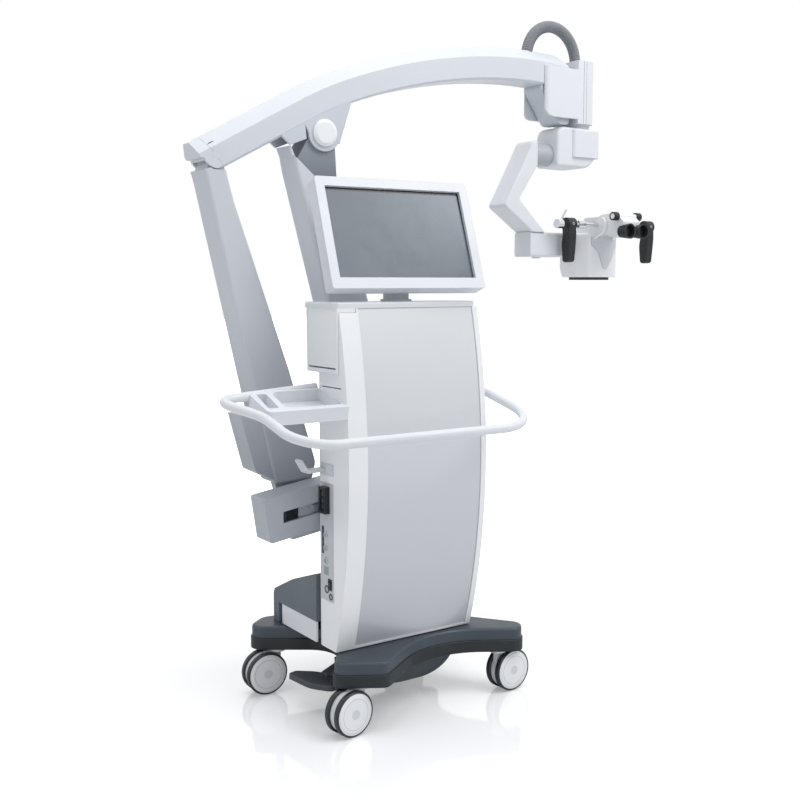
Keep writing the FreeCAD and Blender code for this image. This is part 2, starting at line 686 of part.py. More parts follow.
def chassis():
    """Back sheet with three shelves, seated in the shell."""
    x0 = CABINET_LEFT + 60
    x1 = CABINET_RIGHT - 40
    z0 = CABINET_BOTTOM + CABINET_WALL
    back = CABINET_BACK - CABINET_WALL
    sheet = box(x0, x1, back - 3, back, z0, CABINET_TOP - 30)
    shelves = [box(x0, x1, -84, back, z, z + 3) for z in (z0, 470.0, 700.0)]
    return fuse(sheet, *shelves)


def electronics_units():
    """Power supply with its fan, computer, lamp unit with its fins, camera control unit."""
    z0 = CABINET_BOTTOM + CABINET_WALL + 3
    case = box(-170, -20, -82, -8, z0, z0 + 150)
    fan = rod((-95, -82, z0 + 75), (-95, -86, z0 + 75), 40)
    computer = box(0, 150, -82, -8, z0, z0 + 190)
    shelf = 703.0
    control = box(-110, 120, -80, -8, shelf, shelf + 90)
    knobs = [rod((x, -80, shelf + 45), (x, -85, shelf + 45), 10) for x in (-60, 0, 60)]
    lamp_shelf = 473.0
    lamp = box(-120, 60, -80, -8, lamp_shelf, lamp_shelf + 120)
    snout = rod((60, -44, lamp_shelf + 60), (84, -44, lamp_shelf + 60), 16)
    fins = [box(-110 + i * 20, -106 + i * 20, -80, -8, lamp_shelf + 120, lamp_shelf + 132)
            for i in range(8)]
    return Part.makeCompound([fuse(case, fan), computer, fuse(control, *knobs),
                              fuse(lamp, snout, *fins)])


# Handle bar and tray

def bar_height(y):
    return BAR_REFERENCE_Z + (y - BAR_REFERENCE_Y) * math.tan(math.radians(BAR_SLOPE))


def handle_bar():
    place = lambda p: V(p.x, p.y, bar_height(p.y))
    bar = tube_along_plane(BAR_PLAN, BAR_RADIUS, place)
    outside = box(CABINET_LEFT, CABINET_RIGHT, -200, 100, 700, 1100)
    return cut(bar, outside)


def tube_along_plane(points, radius, place):
    """Round bar in a sloped plane: laid out flat, then tipped about the reference line."""
    flat = lambda p: V(p.x, (p.y - BAR_REFERENCE_Y) / math.cos(math.radians(BAR_SLOPE)), 0)
    bar = tube_along(points, radius, flat)
    bar = turned(bar, (0, 0, 0), (1, 0, 0), BAR_SLOPE)
    bar.translate(V(0, BAR_REFERENCE_Y, BAR_REFERENCE_Z))
    return bar


def tipped(shape):
    shape = turned(shape, (0, 0, 0), (1, 0, 0), BAR_SLOPE)
    shape.translate(V(0, BAR_REFERENCE_Y, BAR_REFERENCE_Z))
    return shape


def tray():
    """Basin between the bar's rear run and the front rail, laid out flat and then tipped."""
    rim = plate_z([(-482, -14, 14), (CABINET_LEFT, -14, 0), (CABINET_LEFT, 138, 0), (-470, 138, 30)],
                  -30, 8)
    basin = plate_z([(-420, 8, 14), (CABINET_LEFT - 8, 8, 8), (CABINET_LEFT - 8, 128, 8),
                     (-406, 128, 30)], -24, 9)
    well = plate_z([(-468, 14, 6), (-438, 14, 6), (-424, 118, 6), (-452, 118, 6)], -18, 9)
    return cut(tipped(cut(rim, basin, well)), handle_bar())


# Monitor

def leaning(shape):
    """Turns an upright, flat-laid monitor piece back about its lower front edge."""
    shape = turned(shape, (0, 0, 0), (1, 0, 0), -MONITOR_TILT)
    shape.translate(V(MONITOR_X, MONITOR_FOOT_Y, MONITOR_FOOT_Z))
    return shape


def headed(shape):
    """Turns a monitor piece about the post, as it stands at rest."""
    return turned(shape, (POST_X, POST_Y, 0), (0, 0, 1), MONITOR_HEADING)


def monitor_shell():
    half = MONITOR_WIDTH / 2
    front = BEZEL_THICKNESS
    outline = [(-half, 0, 8), (half, 0, 8), (half, MONITOR_HEIGHT, 8), (-half, MONITOR_HEIGHT, 8)]
    body = plate_y(outline, front, MONITOR_DEPTH)
    pocket = plate_y([(-half + 8, 8, 4), (half - 8, 8, 4), (half - 8, MONITOR_HEIGHT - 8, 4),
                      (-half + 8, MONITOR_HEIGHT - 8, 4)], front - 1, front + 12)
    body = cut(body, pocket)
    vents = [box(-120 + i * 20, -112 + i * 20, MONITOR_DEPTH - 3, MONITOR_DEPTH + 1,
                 MONITOR_HEIGHT - 60, MONITOR_HEIGHT - 24) for i in range(12)]
    body = leaning(cut(body, *vents))
    lugs = []
    for side in (-1, 1):
        x0 = POST_X + side * 32
        x1 = POST_X + side * 44
        lug = plate_x([(MONITOR_HINGE_Y - 44, MONITOR_HINGE_Z - 26, 0),
                       (MONITOR_HINGE_Y + 4, MONITOR_HINGE_Z - 16, 15),
                       (MONITOR_HINGE_Y + 16, MONITOR_HINGE_Z + 12, 15),
                       (MONITOR_HINGE_Y - 34, MONITOR_HINGE_Z + 26, 0)], min(x0, x1), max(x0, x1))
        lugs.append(lug)
    pin = pin_x(MONITOR_HINGE_Y, MONITOR_HINGE_Z, 6, POST_X - 44, POST_X + 44)
    return headed(fuse(body, pin, *lugs))


def monitor_bezel():
    half = MONITOR_WIDTH / 2
    outline = [(-half, 0, 8), (half, 0, 8), (half, MONITOR_HEIGHT, 8), (-half, MONITOR_HEIGHT, 8)]
    frame = plate_y(outline, 0, BEZEL_THICKNESS)
    window = plate_y([(-half + BEZEL_WIDTH, BEZEL_WIDTH + 4, 2), (half - BEZEL_WIDTH, BEZEL_WIDTH + 4, 2),
                      (half - BEZEL_WIDTH, MONITOR_HEIGHT - BEZEL_WIDTH, 2),
                      (-half + BEZEL_WIDTH, MONITOR_HEIGHT - BEZEL_WIDTH, 2)], -1, BEZEL_THICKNESS + 1)
    return headed(leaning(cut(frame, window)))


def monitor_screen():
    half = MONITOR_WIDTH / 2
    edge = BEZEL_WIDTH - 4
    glass = box(-half + edge, half - edge, BEZEL_THICKNESS, BEZEL_THICKNESS + SCREEN_THICKNESS,
                edge + 4, MONITOR_HEIGHT - edge)
    backlight = box(-half + edge, half - edge, BEZEL_THICKNESS + SCREEN_THICKNESS,
                    BEZEL_THICKNESS + 12, edge + 4, MONITOR_HEIGHT - edge)
    return headed(leaning(fuse(glass, backlight)))


def monitor_post():
    z0 = CABINET_TOP + COVER_HEIGHT
    post = rod((POST_X, POST_Y, z0), (POST_X, POST_Y, POST_TOP - 22), POST_RADIUS)
    foot = rod((POST_X, POST_Y, z0), (POST_X, POST_Y, z0 + 6), POST_RADIUS + 8)
    spigot = rod((POST_X, POST_Y, POST_TOP - 22), (POST_X, POST_Y, POST_TOP - 8), 20)
    return fuse(post, foot, spigot)


def monitor_neck():
    """Turning head of the post, leaning back to the tilt hinge."""
    z0 = POST_TOP - 22 + SEAT_GAP
    cap = rod((POST_X, POST_Y, z0), (POST_X, POST_Y, POST_TOP), POST_RADIUS)
    arm = plate_x([(POST_Y - 28, POST_TOP - 2, 0), (POST_Y + 28, POST_TOP - 2, 0),
                   (MONITOR_HINGE_Y + 18, MONITOR_HINGE_Z + 14, 16),
                   (MONITOR_HINGE_Y - 17, MONITOR_HINGE_Z + 16, 16)], POST_X - 31.5, POST_X + 31.5)
    body = fuse(cap, arm)
    socket = rod((POST_X, POST_Y, z0 - 1), (POST_X, POST_Y, POST_TOP - 8 + SEAT_GAP), 20 + RUNNING_FIT)
    bore = pin_x(MONITOR_HINGE_Y, MONITOR_HINGE_Z, 6 + RUNNING_FIT, POST_X - 60, POST_X + 60)
    return headed(cut(body, socket, bore))


# Arm system: members in one plane, on pins along Y

ARM_NEAR = ARM_Y - ARM_WIDTH / 2
ARM_FAR = ARM_Y + ARM_WIDTH / 2
CHEEK_PLATE = 8.0         # side plates that embrace a narrowed neck
NECK_NEAR = ARM_NEAR + CHEEK_PLATE + 2
NECK_FAR = ARM_FAR - CHEEK_PLATE - 2
BLADE_HALF = 14.0         # half thickness of the lower eyes
LEVEL_HALF = 17.0         # half thickness of the levelling plate inside the upright's neck
LEVEL_HUB = 28.0
HEEL_HUB = 26.5           # thick middle of the rear pin, inside the strut's eye
LINK_NEAR = ARM_Y - BLADE_HALF - 16
LINK_FAR = ARM_Y + BLADE_HALF + 16
LINK_THICKNESS = 12.0
EAR_THICKNESS = 12.0


def yoke():
    """Turning head on the column: a fork for the upright and the weight beam."""
    px, pz = BASE_PIVOT
    z0 = COLUMN_TOP + SEAT_GAP
    drum = rod((COLUMN_X, ARM_Y, z0), (COLUMN_X, ARM_Y, COLUMN_TOP + 66), COLUMN_RADIUS)
    drum = round_level(drum, 6.0, COLUMN_TOP + 66)
    near = LINK_NEAR - 2 - EAR_THICKNESS
    far = LINK_FAR + 2
    ears = []
    for a in (near, far):
        ears.append(plate_y([(COLUMN_X - 30, COLUMN_TOP + 50, 0), (COLUMN_X + 40, COLUMN_TOP + 50, 0),
                             (px + 30, pz + 26, 30), (px - 30, pz + 26, 30)], a, a + EAR_THICKNESS))
    pin = pin_y(px, pz, PIVOT_RADIUS, near - 6, far + EAR_THICKNESS + 6)
    body = fuse(drum, pin, *ears)
    socket = rod((COLUMN_X, ARM_Y, z0 - 1), (COLUMN_X, ARM_Y, COLUMN_TOP + SPIGOT_HEIGHT + SEAT_GAP),
                 SPIGOT_RADIUS + RUNNING_FIT)
    return cut(body, socket)


def round_long(shape, radius, length=300):
    """Round the straight edges longer than a given length."""
    edges = [e for e in shape.Edges if e.Curve.TypeId == "Part::GeomLine" and e.Length > length]
    return shape.makeFillet(radius, edges)


def upright():
    """Box column from the base pivot to under the top pivot, wider at its foot."""
    bx, bz = BASE_PIVOT
    profile = [(bx - 110, bz + 62, 16), (bx + 60, bz + 62, 16), (-3, 1176, 0), (-84, 1440, 0),
               (-176, 1512, 0), (-247, 1572, 0), (-239, 1530, 30)]
    body = plate_y(profile, ARM_NEAR, ARM_FAR)
    body = round_long(body, 12.0, 250)
    blade = plate_y([(bx - 60, bz + 70, 0), (bx - 26, bz - 26, 26), (bx + 26, bz - 26, 26),
                     (bx + 40, bz + 70, 0)], ARM_Y - BLADE_HALF, ARM_Y + BLADE_HALF)
    cheek = plate_y([(-247, 1571, 0), (-257, 1596, 0), (-251, 1598, 0), (-234, 1560, 0)],
                    NECK_NEAR, NECK_FAR)
    body = fuse(body, blade, cheek)
    return cut(body, level_pocket(), pin_y(bx, bz, PIVOT_RADIUS + RUNNING_FIT, 0, 300))


def level_pocket():
    """Room inside the neck in which the levelling plate keeps its heading."""
    tx, tz = TOP_PIVOT
    near = ARM_Y - LEVEL_HALF - 1
    far = ARM_Y + LEVEL_HALF + 1
    fan = plate_y([(tx - 30, tz, 0), (tx - 74, tz - 121, 6), (tx - 40, tz - 138, 6),
                   (tx + 33, tz - 134, 6), (tx + 30, tz, 0)], near, far)
    return fuse(fan, pin_y(tx, tz, LEVEL_HUB + 1, near, far))


def upright_head():
    """Dark neck and eye on top of the upright, between the boom's cheeks."""
    tx, tz = TOP_PIVOT
    eye = pin_y(tx, tz, 40, NECK_NEAR, NECK_FAR)
    neck = plate_y([(-84, 1440, 0), (-104, 1516, 30), (tx + 38, tz - 20, 0), (tx + 20, tz + 20, 0),
                    (tx - 34, tz + 8, 20), (-233, 1560, 0), (-176, 1512, 0)], NECK_NEAR, NECK_FAR)
    body = fuse(eye, neck)
    body = cut(body, upright())
    return cut(body, level_pocket(), pin_y(tx, tz, PIVOT_RADIUS + RUNNING_FIT, 0, 300))


def top_pin():
    """Level pin of the top pivot, with its levelling plate and two domed cover discs."""
    tx, tz = TOP_PIVOT
    near = ARM_Y - LEVEL_HALF
    far = ARM_Y + LEVEL_HALF
    plate = plate_y([(tx - 25, tz - 4, 0), (tx - 57, tz - 126, 6), (tx + 11, tz - 126, 6),
                     (tx + 25, tz - 4, 0)], near, far)
    parts = [pin_y(tx, tz, PIVOT_RADIUS, ARM_NEAR - 2, ARM_FAR + 2), plate,
             pin_y(tx, tz, LEVEL_HUB, near, far)]
    for side in (-1, 1):
        face = ARM_Y + side * (ARM_WIDTH / 2 + SEAT_GAP)
        rim = face + side * (DISC_THICKNESS - 5)
        parts.append(pin_y(tx, tz, DISC_RADIUS, min(face, rim), max(face, rim)))
        dome = Part.makeCone(DISC_RADIUS, DISC_RADIUS - 9, 5, V(tx, rim, tz), V(0, side, 0))
        parts.append(dome)
    return fuse(*parts)


def boom_path():
    """The crown of the boom, from its rear end: a straight run and three tangent arcs."""
    angle = math.radians(BOOM_HEADING)
    here = V(BOOM_START[0], ARM_Y, BOOM_START[1])
    there = here + V(math.cos(angle), 0, math.sin(angle)) * BOOM_STRAIGHT
    edges = [Part.makeLine(here, there)]
    here = there
    for radius, turn in BOOM_ARCS:
        centre = here + V(math.sin(angle), 0, -math.cos(angle)) * radius
        half = math.radians(turn) / 2
        middle = centre + V(-math.sin(angle - half), 0, math.cos(angle - half)) * radius
        angle -= 2 * half
        there = centre + V(-math.sin(angle), 0, math.cos(angle)) * radius
        edges.append(Part.Arc(here, middle, there).toShape())
        here = there
    return edges, here, angle


def boom_section(at, angle, height):
    """Section square to the crown: a flat crown, sloped shoulders and straight sides."""
    half = ARM_WIDTH / 2
    crown = CROWN_WIDTH / 2
    down = V(math.sin(angle), 0, -math.cos(angle))
    corners = [(-crown, 0), (crown, 0), (half, CROWN_DROP), (half, height - 6), (half - 6, height),
               (6 - half, height), (-half, height - 6), (-half, CROWN_DROP)]
    points = [at + V(0, side, 0) + down * drop for side, drop in corners]
    return Part.makePolygon(points + [points[0]])


def boom_blank():
    """The boom before its bores: swept crown, round front end, round rear end."""
    edges, end, end_angle = boom_path()
    start = V(BOOM_START[0], ARM_Y, BOOM_START[1])
    rear = boom_section(start, math.radians(BOOM_HEADING), BOOM_REAR_HEIGHT)
    front = boom_section(end, end_angle, BOOM_FRONT_HEIGHT)
    body = Part.Wire(edges).makePipeShell([rear, front], True, False)
    fx, fz = FRONT_PIVOT
    nose = box(fx, fx + 400, 0, 300, fz - 300, fz + 300)
    nose = cut(nose, pin_y(fx, fz, BOOM_NOSE_RADIUS, -1, 301))
    rx, rz = REAR_PIVOT
    heel = box(rx - 200, rx + 19, 0, 300, rz - 200, rz - 14)
    heel = cut(heel, pin_y(rx, rz, HEEL_RADIUS, -1, 301))
    body = cut(body, nose, heel)
    slot = fuse(pin_y(rx, rz, 33, NECK_NEAR - 1, NECK_FAR + 1),
                box(rx - 33, rx + 62, NECK_NEAR - 1, NECK_FAR + 1, rz - 200, rz))
    bores = [pin_y(fx, fz, PIVOT_RADIUS + RUNNING_FIT, 0, 300),
             pin_y(rx, rz, PIVOT_RADIUS + RUNNING_FIT, 0, 300)]
    return cut(body, slot, *bores)


def end_cap_side(gap):
    """Everything behind the shut line of the boom's end cap."""
    line = [(END_SEAM_TOP[0] + gap, END_SEAM_TOP[1], 0), (END_SEAM_LOW[0] + gap, END_SEAM_LOW[1], 0),
            (END_SEAM_LOW[0] + 30, END_SEAM_LOW[1] - 80, 0), (-700, 1400, 0), (-700, 1700, 0),
            (END_SEAM_TOP[0] - 40 + gap, END_SEAM_TOP[1] + 55, 0)]
    return plate_y(line, 0, 300)


def boom(blank):
    hose_seat = rod((HOSE_START_X, ARM_Y, hose_foot() - SEAT_GAP), (HOSE_START_X, ARM_Y, 2100),
                    HOSE_RADIUS + 1.5)
    return cut(cut(blank, end_cap_side(0)), hose_seat)


def boom_end_cap(blank):
    return blank.common(end_cap_side(-PANEL_GAP))


def boom_brackets(blank):
    """Under the boom: the cheeks and hood about the upright's neck, and the nose brace."""
    tx, tz = TOP_PIVOT
    outline = [(tx - CHEEK_RADIUS, tz - 2, 0), (-230, 1690, 0), (-60, 1790, 0), (-56, 1740, 0),
               (tx + CHEEK_RADIUS - 2, tz - 26, 0)]
    plates = []
    for a, b in ((ARM_NEAR, ARM_NEAR + CHEEK_PLATE), (ARM_FAR - CHEEK_PLATE, ARM_FAR)):
        plate = fuse(plate_y(outline, a, b), pin_y(tx, tz, CHEEK_RADIUS, a, b))
        hood = plate_y([(-297, 1631, 0), (-257, 1598, 3), (-206, 1618, 0), (-216, 1700, 0),
                        (-290, 1660, 0)], a, b)
        plates.append(fuse(plate, hood))
    roof = plate_y([(-297, 1630, 0), (-286, 1626, 0), (-224, 1668, 0), (-80, 1716, 0),
                    (-60, 1716, 0), (-60, 1790, 0), (-290, 1680, 0)],
                   ARM_NEAR + CHEEK_PLATE, ARM_FAR - CHEEK_PLATE)
    body = fuse(plates[0], plates[1], roof)
    body = cut(body, pin_y(tx, tz, PIVOT_RADIUS + RUNNING_FIT, 0, 300))
    body = cut(body, blank)
    return Part.makeCompound([largest(body), boom_brace(blank)])


def rear_pin():
    """Level pin of the rear pivot, flush with the boom's flanks."""
    rx, rz = REAR_PIVOT
    hub = pin_y(rx, rz, HEEL_HUB, NECK_NEAR, NECK_FAR)
    return fuse(pin_y(rx, rz, PIVOT_RADIUS, ARM_NEAR, ARM_FAR), hub)


def rear_strut():
    """Strut that widens downwards, with an eye in the boom's heel and a blade at its foot."""
    rx, rz = REAR_PIVOT
    px, pz = BEAM_PIVOT
    profile = [(-518, 1516, 0), (-510, 1490, 40), (-394, 979, 0), (-318, 650, 14), (-196, 650, 14),
               (-183, 701, 40), (-267, 973, 400), (-430, 1440, 0), (-455, 1535, 0)]
    body = plate_y(profile, ARM_NEAR, ARM_FAR)
    body = round_long(body, 10.0, 200)
    body = cut(body, pin_y(rx, rz, HEEL_RADIUS + 3.5, -1, 301),
               box(rx - 10, rx + 100, -1, 301, rz - 42, rz + 100))
    neck = plate_y([(-512, 1500, 0), (-446, 1490, 0), (rx + 20, rz - 16, 0), (rx - 20, rz - 16, 0)],
                   NECK_NEAR, NECK_FAR)
    eye = pin_y(rx, rz, 30, NECK_NEAR, NECK_FAR)
    blade = plate_y([(-306, 660, 0), (px - 28, pz - 28, 28), (px + 28, pz - 28, 28), (-200, 660, 0)],
                    ARM_Y - BLADE_HALF, ARM_Y + BLADE_HALF)
    body = fuse(body, neck, eye, blade)
    slit = plate_y([(-353, 786, 0), (-351, 788, 0), (-316, 652, 0), (-319, 652, 0)],
                   ARM_NEAR - 1, ARM_NEAR + 5)
    return cut(body, slit, pin_y(rx, rz, HEEL_HUB + RUNNING_FIT, 0, 300),
               pin_y(px, pz, PIVOT_RADIUS + BEAM_PIN_CLEARANCE, 0, 300))


def strut_cover(strut):
    """Cover plate that stands off the strut's lower left side."""
    plate = plate_y([(-420, 853, 0), (-376, 690, 14), (-300, 652, 0), (-340, 860, 0)],
                    ARM_NEAR + 6, ARM_FAR - 6)
    return cut(plate, strut)


def beam():
    """Twin links from the base pivot to the strut's foot, with the block that carries the box."""
    px, pz = BASE_PIVOT
    sx, sz = BEAM_PIVOT
    links = []
    for a in (LINK_NEAR, LINK_FAR - LINK_THICKNESS):
        b = a + LINK_THICKNESS
        bar = plate_y([(sx, sz - 20, 0), (px, pz - 20, 0), (px, pz + 20, 0), (sx, sz + 20, 0)], a, b)
        bar = fuse(bar, pin_y(sx, sz, 25, a, b), pin_y(px, pz, 27, a, b))
        links.append(cut(bar, pin_y(px, pz, PIVOT_RADIUS + RUNNING_FIT, 0, 300)))
    block = plate_y([(-170, 574, 4), (-60, 600, 4), (-64, 628, 4), (-174, 602, 4)],
                    WEIGHT_FAR, LINK_FAR - 4)
    pin = pin_y(sx, sz, PIVOT_RADIUS, LINK_NEAR - 4, LINK_FAR + 4)
    return fuse(links[0], links[1], block, pin)


def sloped(points):
    return [(x, z + (x - WEIGHT_LEFT) * WEIGHT_SLOPE, r) for x, z, r in points]


def weight_box():
    """Slotted hollow box for the balance weight, parallel to the beam."""
    outer = sloped([(WEIGHT_LEFT, WEIGHT_TOP, 6), (WEIGHT_LEFT + 19, WEIGHT_BOTTOM, 6),
                    (WEIGHT_RIGHT, WEIGHT_BOTTOM, 6), (WEIGHT_RIGHT, WEIGHT_TOP, 6)])
    body = plate_y(outer, WEIGHT_NEAR, WEIGHT_FAR)
    inner = sloped([(WEIGHT_LEFT + 28, WEIGHT_TOP - 8, 2), (WEIGHT_LEFT + 28, WEIGHT_BOTTOM + 8, 2),
                    (WEIGHT_RIGHT - 8, WEIGHT_BOTTOM + 8, 2), (WEIGHT_RIGHT - 8, WEIGHT_TOP - 8, 2)])
    room = plate_y(inner, WEIGHT_NEAR + 8, WEIGHT_FAR - 8)
    slot = plate_y(sloped([(SLOT_LEFT, SLOT_LOW, 3), (SLOT_RIGHT, SLOT_LOW, 3),
                           (SLOT_RIGHT, SLOT_HIGH, 3), (SLOT_LEFT, SLOT_HIGH, 3)]),
                   WEIGHT_NEAR - 1, WEIGHT_NEAR + 9)
    rail = plate_y(sloped([(-303, WEIGHT_BOTTOM - 13, 0), (WEIGHT_RIGHT - 10, WEIGHT_BOTTOM - 13, 0),
                           (WEIGHT_RIGHT - 10, WEIGHT_BOTTOM, 0), (-303, WEIGHT_BOTTOM, 0)]),
                   WEIGHT_NEAR + 16, WEIGHT_FAR - 16)
    return fuse(cut(body, room, slot), rail)


def balance_weight():
    """Sliding weight inside the box, with the grip that is reached through the slot."""
    gap = 0.5
    block = plate_y(sloped([(-290, WEIGHT_TOP - 8 - gap, 0), (-290, WEIGHT_BOTTOM + 8 + gap, 0),
                            (-170, WEIGHT_BOTTOM + 8 + gap, 0), (-170, WEIGHT_TOP - 8 - gap, 0)]),
                    WEIGHT_NEAR + 8 + gap, WEIGHT_FAR - 8 - gap)
    grip = plate_y(sloped([(-245, SLOT_LOW + 6, 3), (-215, SLOT_LOW + 6, 3), (-215, SLOT_HIGH - 6, 3),
                           (-245, SLOT_HIGH - 6, 3)]), WEIGHT_NEAR + 3, WEIGHT_NEAR + 8 + gap)
    return fuse(block, grip)


# Head bracket and hose

def head_bracket():
    """Two cheeks about the boom's nose and the block that carries the head's turning axis."""
    near = ARM_NEAR - 1 - CHEEK_THICKNESS
    far = ARM_FAR + 1 + CHEEK_THICKNESS
    outline = [(BRACKET_LEFT, near, 16), (BRACKET_RIGHT, near, 26), (BRACKET_RIGHT, far, 26),
               (BRACKET_LEFT, far, 16)]
    body = plate_z(outline, BRACKET_BOTTOM, BRACKET_TOP)
    shoulder = box(BRACKET_LEFT - 1, BLOCK_LEFT, near - 1, far + 1, CHEEK_TOP, BRACKET_TOP + 1)
    slot = box(BRACKET_LEFT - 1, BLOCK_LEFT, ARM_NEAR - 1, ARM_FAR + 1, BRACKET_BOTTOM - 1,
               BRACKET_TOP + 1)
    step = box(BRACKET_LEFT - 1, BLOCK_LEFT, near - 1, far + 1, BRACKET_BOTTOM - 1, CHEEK_BOTTOM)
    corner = cut(box(BRACKET_LEFT - 1, BRACKET_LEFT + CHEEK_CORNER, near - 1, far + 1, CHEEK_BOTTOM - 1,
                     CHEEK_BOTTOM + CHEEK_CORNER),
                 pin_y(BRACKET_LEFT + CHEEK_CORNER, CHEEK_BOTTOM + CHEEK_CORNER, CHEEK_CORNER,
                       near - 2, far + 2))
    grooves = [box(x, x + 1.6, near - 1, near + 1.6, BRACKET_BOTTOM - 1, BRACKET_TOP + 1)
               for x in (BLOCK_LEFT + 24, BLOCK_LEFT + 36)]
    body = cut(body, shoulder, slot, step, corner, *grooves)
    fx, fz = FRONT_PIVOT
    pin = pin_y(fx, fz, PIVOT_RADIUS, near + 3, far - 3)
    collar = rod((HEAD_X, ARM_Y, COLLAR_BOTTOM), (HEAD_X, ARM_Y, BRACKET_BOTTOM + 1), COLLAR_RADIUS)
    groove = Part.makeTorus(COLLAR_RADIUS, 1.2, V(HEAD_X, ARM_Y, BRACKET_BOTTOM - 5), V(0, 0, 1))
    spigot = rod((HEAD_X, ARM_Y, COLLAR_BOTTOM - 30), (HEAD_X, ARM_Y, COLLAR_BOTTOM), 24)
    seat = rod((HOSE_END_X, ARM_Y, BRACKET_TOP - 6 - SEAT_GAP), (HOSE_END_X, ARM_Y, BRACKET_TOP + 1),
               HOSE_RADIUS + 1.5)
    body = fuse(body, pin, collar, spigot)
    return cut(body, groove, seat)


def boom_brace(blank):
    """Diagonal web under the boom's nose, between the bracket's cheeks."""
    web = plate_y([(664, 1850, 0), (664, 1842, 0), (744, 1736, 24), (788, 1736, 12), (788, 1820, 0),
                   (740, 1860, 0), (672, 1880, 0)], ARM_NEAR + 6, ARM_FAR - 6)
    fx, fz = FRONT_PIVOT
    return cut(web, blank, pin_y(fx, fz, 45, 0, 300))


def hose_foot():
    """Height at which the hose's arch starts, sunk a little into the boom's crown."""
    return HOSE_TOP - HOSE_RADIUS - (HOSE_END_X - HOSE_START_X) / 2


def hose():
    """Corrugated cable hose in one arch from the boom's crown to the bracket's top."""
    foot = hose_foot()
    radius = (HOSE_END_X - HOSE_START_X) / 2
    left = V(HOSE_START_X, ARM_Y, foot)
    right = V(HOSE_END_X, ARM_Y, foot)
    top = V((HOSE_START_X + HOSE_END_X) / 2, ARM_Y, foot + radius)
    arch = Part.Arc(left, top, right).toShape()
    drop = Part.makeLine(right, V(HOSE_END_X, ARM_Y, BRACKET_TOP - 6))
    path = Part.Wire([arch, drop])
    ring = Part.Wire(Part.makeCircle(HOSE_RADIUS, left, V(0, 0, 1)))
    solid = path.makePipeShell([ring], True, False)
    print("hose volume", round(solid.Volume), "section x length",
          round(math.pi * HOSE_RADIUS ** 2 * path.Length))
    return solid


# Head: swivel, C-arm and optics

def swivel_housing():
    outline = [(DRUM_LEFT, DRUM_BOTTOM, 12), (DRUM_RIGHT, DRUM_BOTTOM, 64), (DRUM_RIGHT, DRUM_TOP, 14),
               (DRUM_LEFT, DRUM_TOP, 34)]
    body = plate_y(outline, DRUM_NEAR, DRUM_FAR)
    edges = [e for e in body.Edges if e.BoundBox.YLength < 0.01]
    body = body.makeFillet(10.0, edges)
    socket = rod((HEAD_X, ARM_Y, COLLAR_BOTTOM - 32), (HEAD_X, ARM_Y, DRUM_TOP + 1), 24 + RUNNING_FIT)
    bore = pin_x(ARM_Y, ROLL_Z, LINK_RADIUS - 9 + RUNNING_FIT, DRUM_LEFT - 1, DRUM_LEFT + 60)
    hatch = cap_solid(0.0)
    return cut(body, socket, bore, hatch)


def cap_solid(gap):
    outline = [(CAP_LEFT + gap, DRUM_NEAR - 9, 12), (DRUM_RIGHT + 12, DRUM_NEAR - 9, 26),
               (DRUM_RIGHT + 12, DRUM_FAR + 9, 26), (CAP_LEFT + gap, DRUM_FAR + 9, 12)]
    shell = plate_z(outline, CAP_BOTTOM + gap, DRUM_TOP - 3)
    shell = round_level(shell, 8.0, DRUM_TOP - 3)
    room = box(CAP_LEFT - 20, DRUM_RIGHT - 12, DRUM_NEAR + 6, DRUM_FAR - 6, CAP_BOTTOM - 10,
               DRUM_TOP - 12)
    return cut(shell, room)


def swivel_cap():
    socket = rod((HEAD_X, ARM_Y, DRUM_TOP - 20), (HEAD_X, ARM_Y, DRUM_TOP + 1), 24 + RUNNING_FIT)
    return cut(cap_solid(0.0), socket)


def roll_link():
    """Dark grey link on the roll axis, journalled in the swivel housing."""
    body = pin_x(ARM_Y, ROLL_Z, LINK_RADIUS, LINK_LEFT, DRUM_LEFT - SEAT_GAP)
    journal = pin_x(ARM_Y, ROLL_Z, LINK_RADIUS - 9, DRUM_LEFT - SEAT_GAP, DRUM_LEFT + 58)
    return fuse(body, journal)


def c_arm():
    """Bent arm in three runs, open between its legs."""
    outline = [(LINK_LEFT, ROLL_Z + 40, 6), (636, ROLL_Z + 40, 20), (590, 1592, 70), (516, 1462, 12),
               (634, HOUSING_TOP, 0), (692, HOUSING_TOP, 0), (580, 1488, 8), (643, 1578, 14),
               (LINK_LEFT, 1597, 4)]
    body = plate_y(outline, ARM_Y - C_ARM_WIDTH / 2, ARM_Y + C_ARM_WIDTH / 2)
    edges = [e for e in body.Edges if e.BoundBox.YLength < 0.01 and e.Length > 40
             and e.BoundBox.ZMin > HOUSING_TOP + 1]
    return body.makeFillet(7.0, edges)


def lower_housing():
    near = ARM_Y - HOUSING_SIZE / 2
    far = ARM_Y + HOUSING_SIZE / 2
    body = plate_x([(near, HOUSING_TOP - HOUSING_SIZE, 9), (far, HOUSING_TOP - HOUSING_SIZE, 9),
                    (far, HOUSING_TOP, 9), (near, HOUSING_TOP, 9)], HOUSING_LEFT, HOUSING_RIGHT)
    foot = rod((690, ARM_Y, HOUSING_TOP - HOUSING_SIZE - 5), (690, ARM_Y, HOUSING_TOP - HOUSING_SIZE + 2),
               14)
    bore = pin_x(ARM_Y, TILT_Z, 20 + RUNNING_FIT, HOUSING_RIGHT - 50, HOUSING_RIGHT + 1)
    return cut(fuse(body, foot), bore)


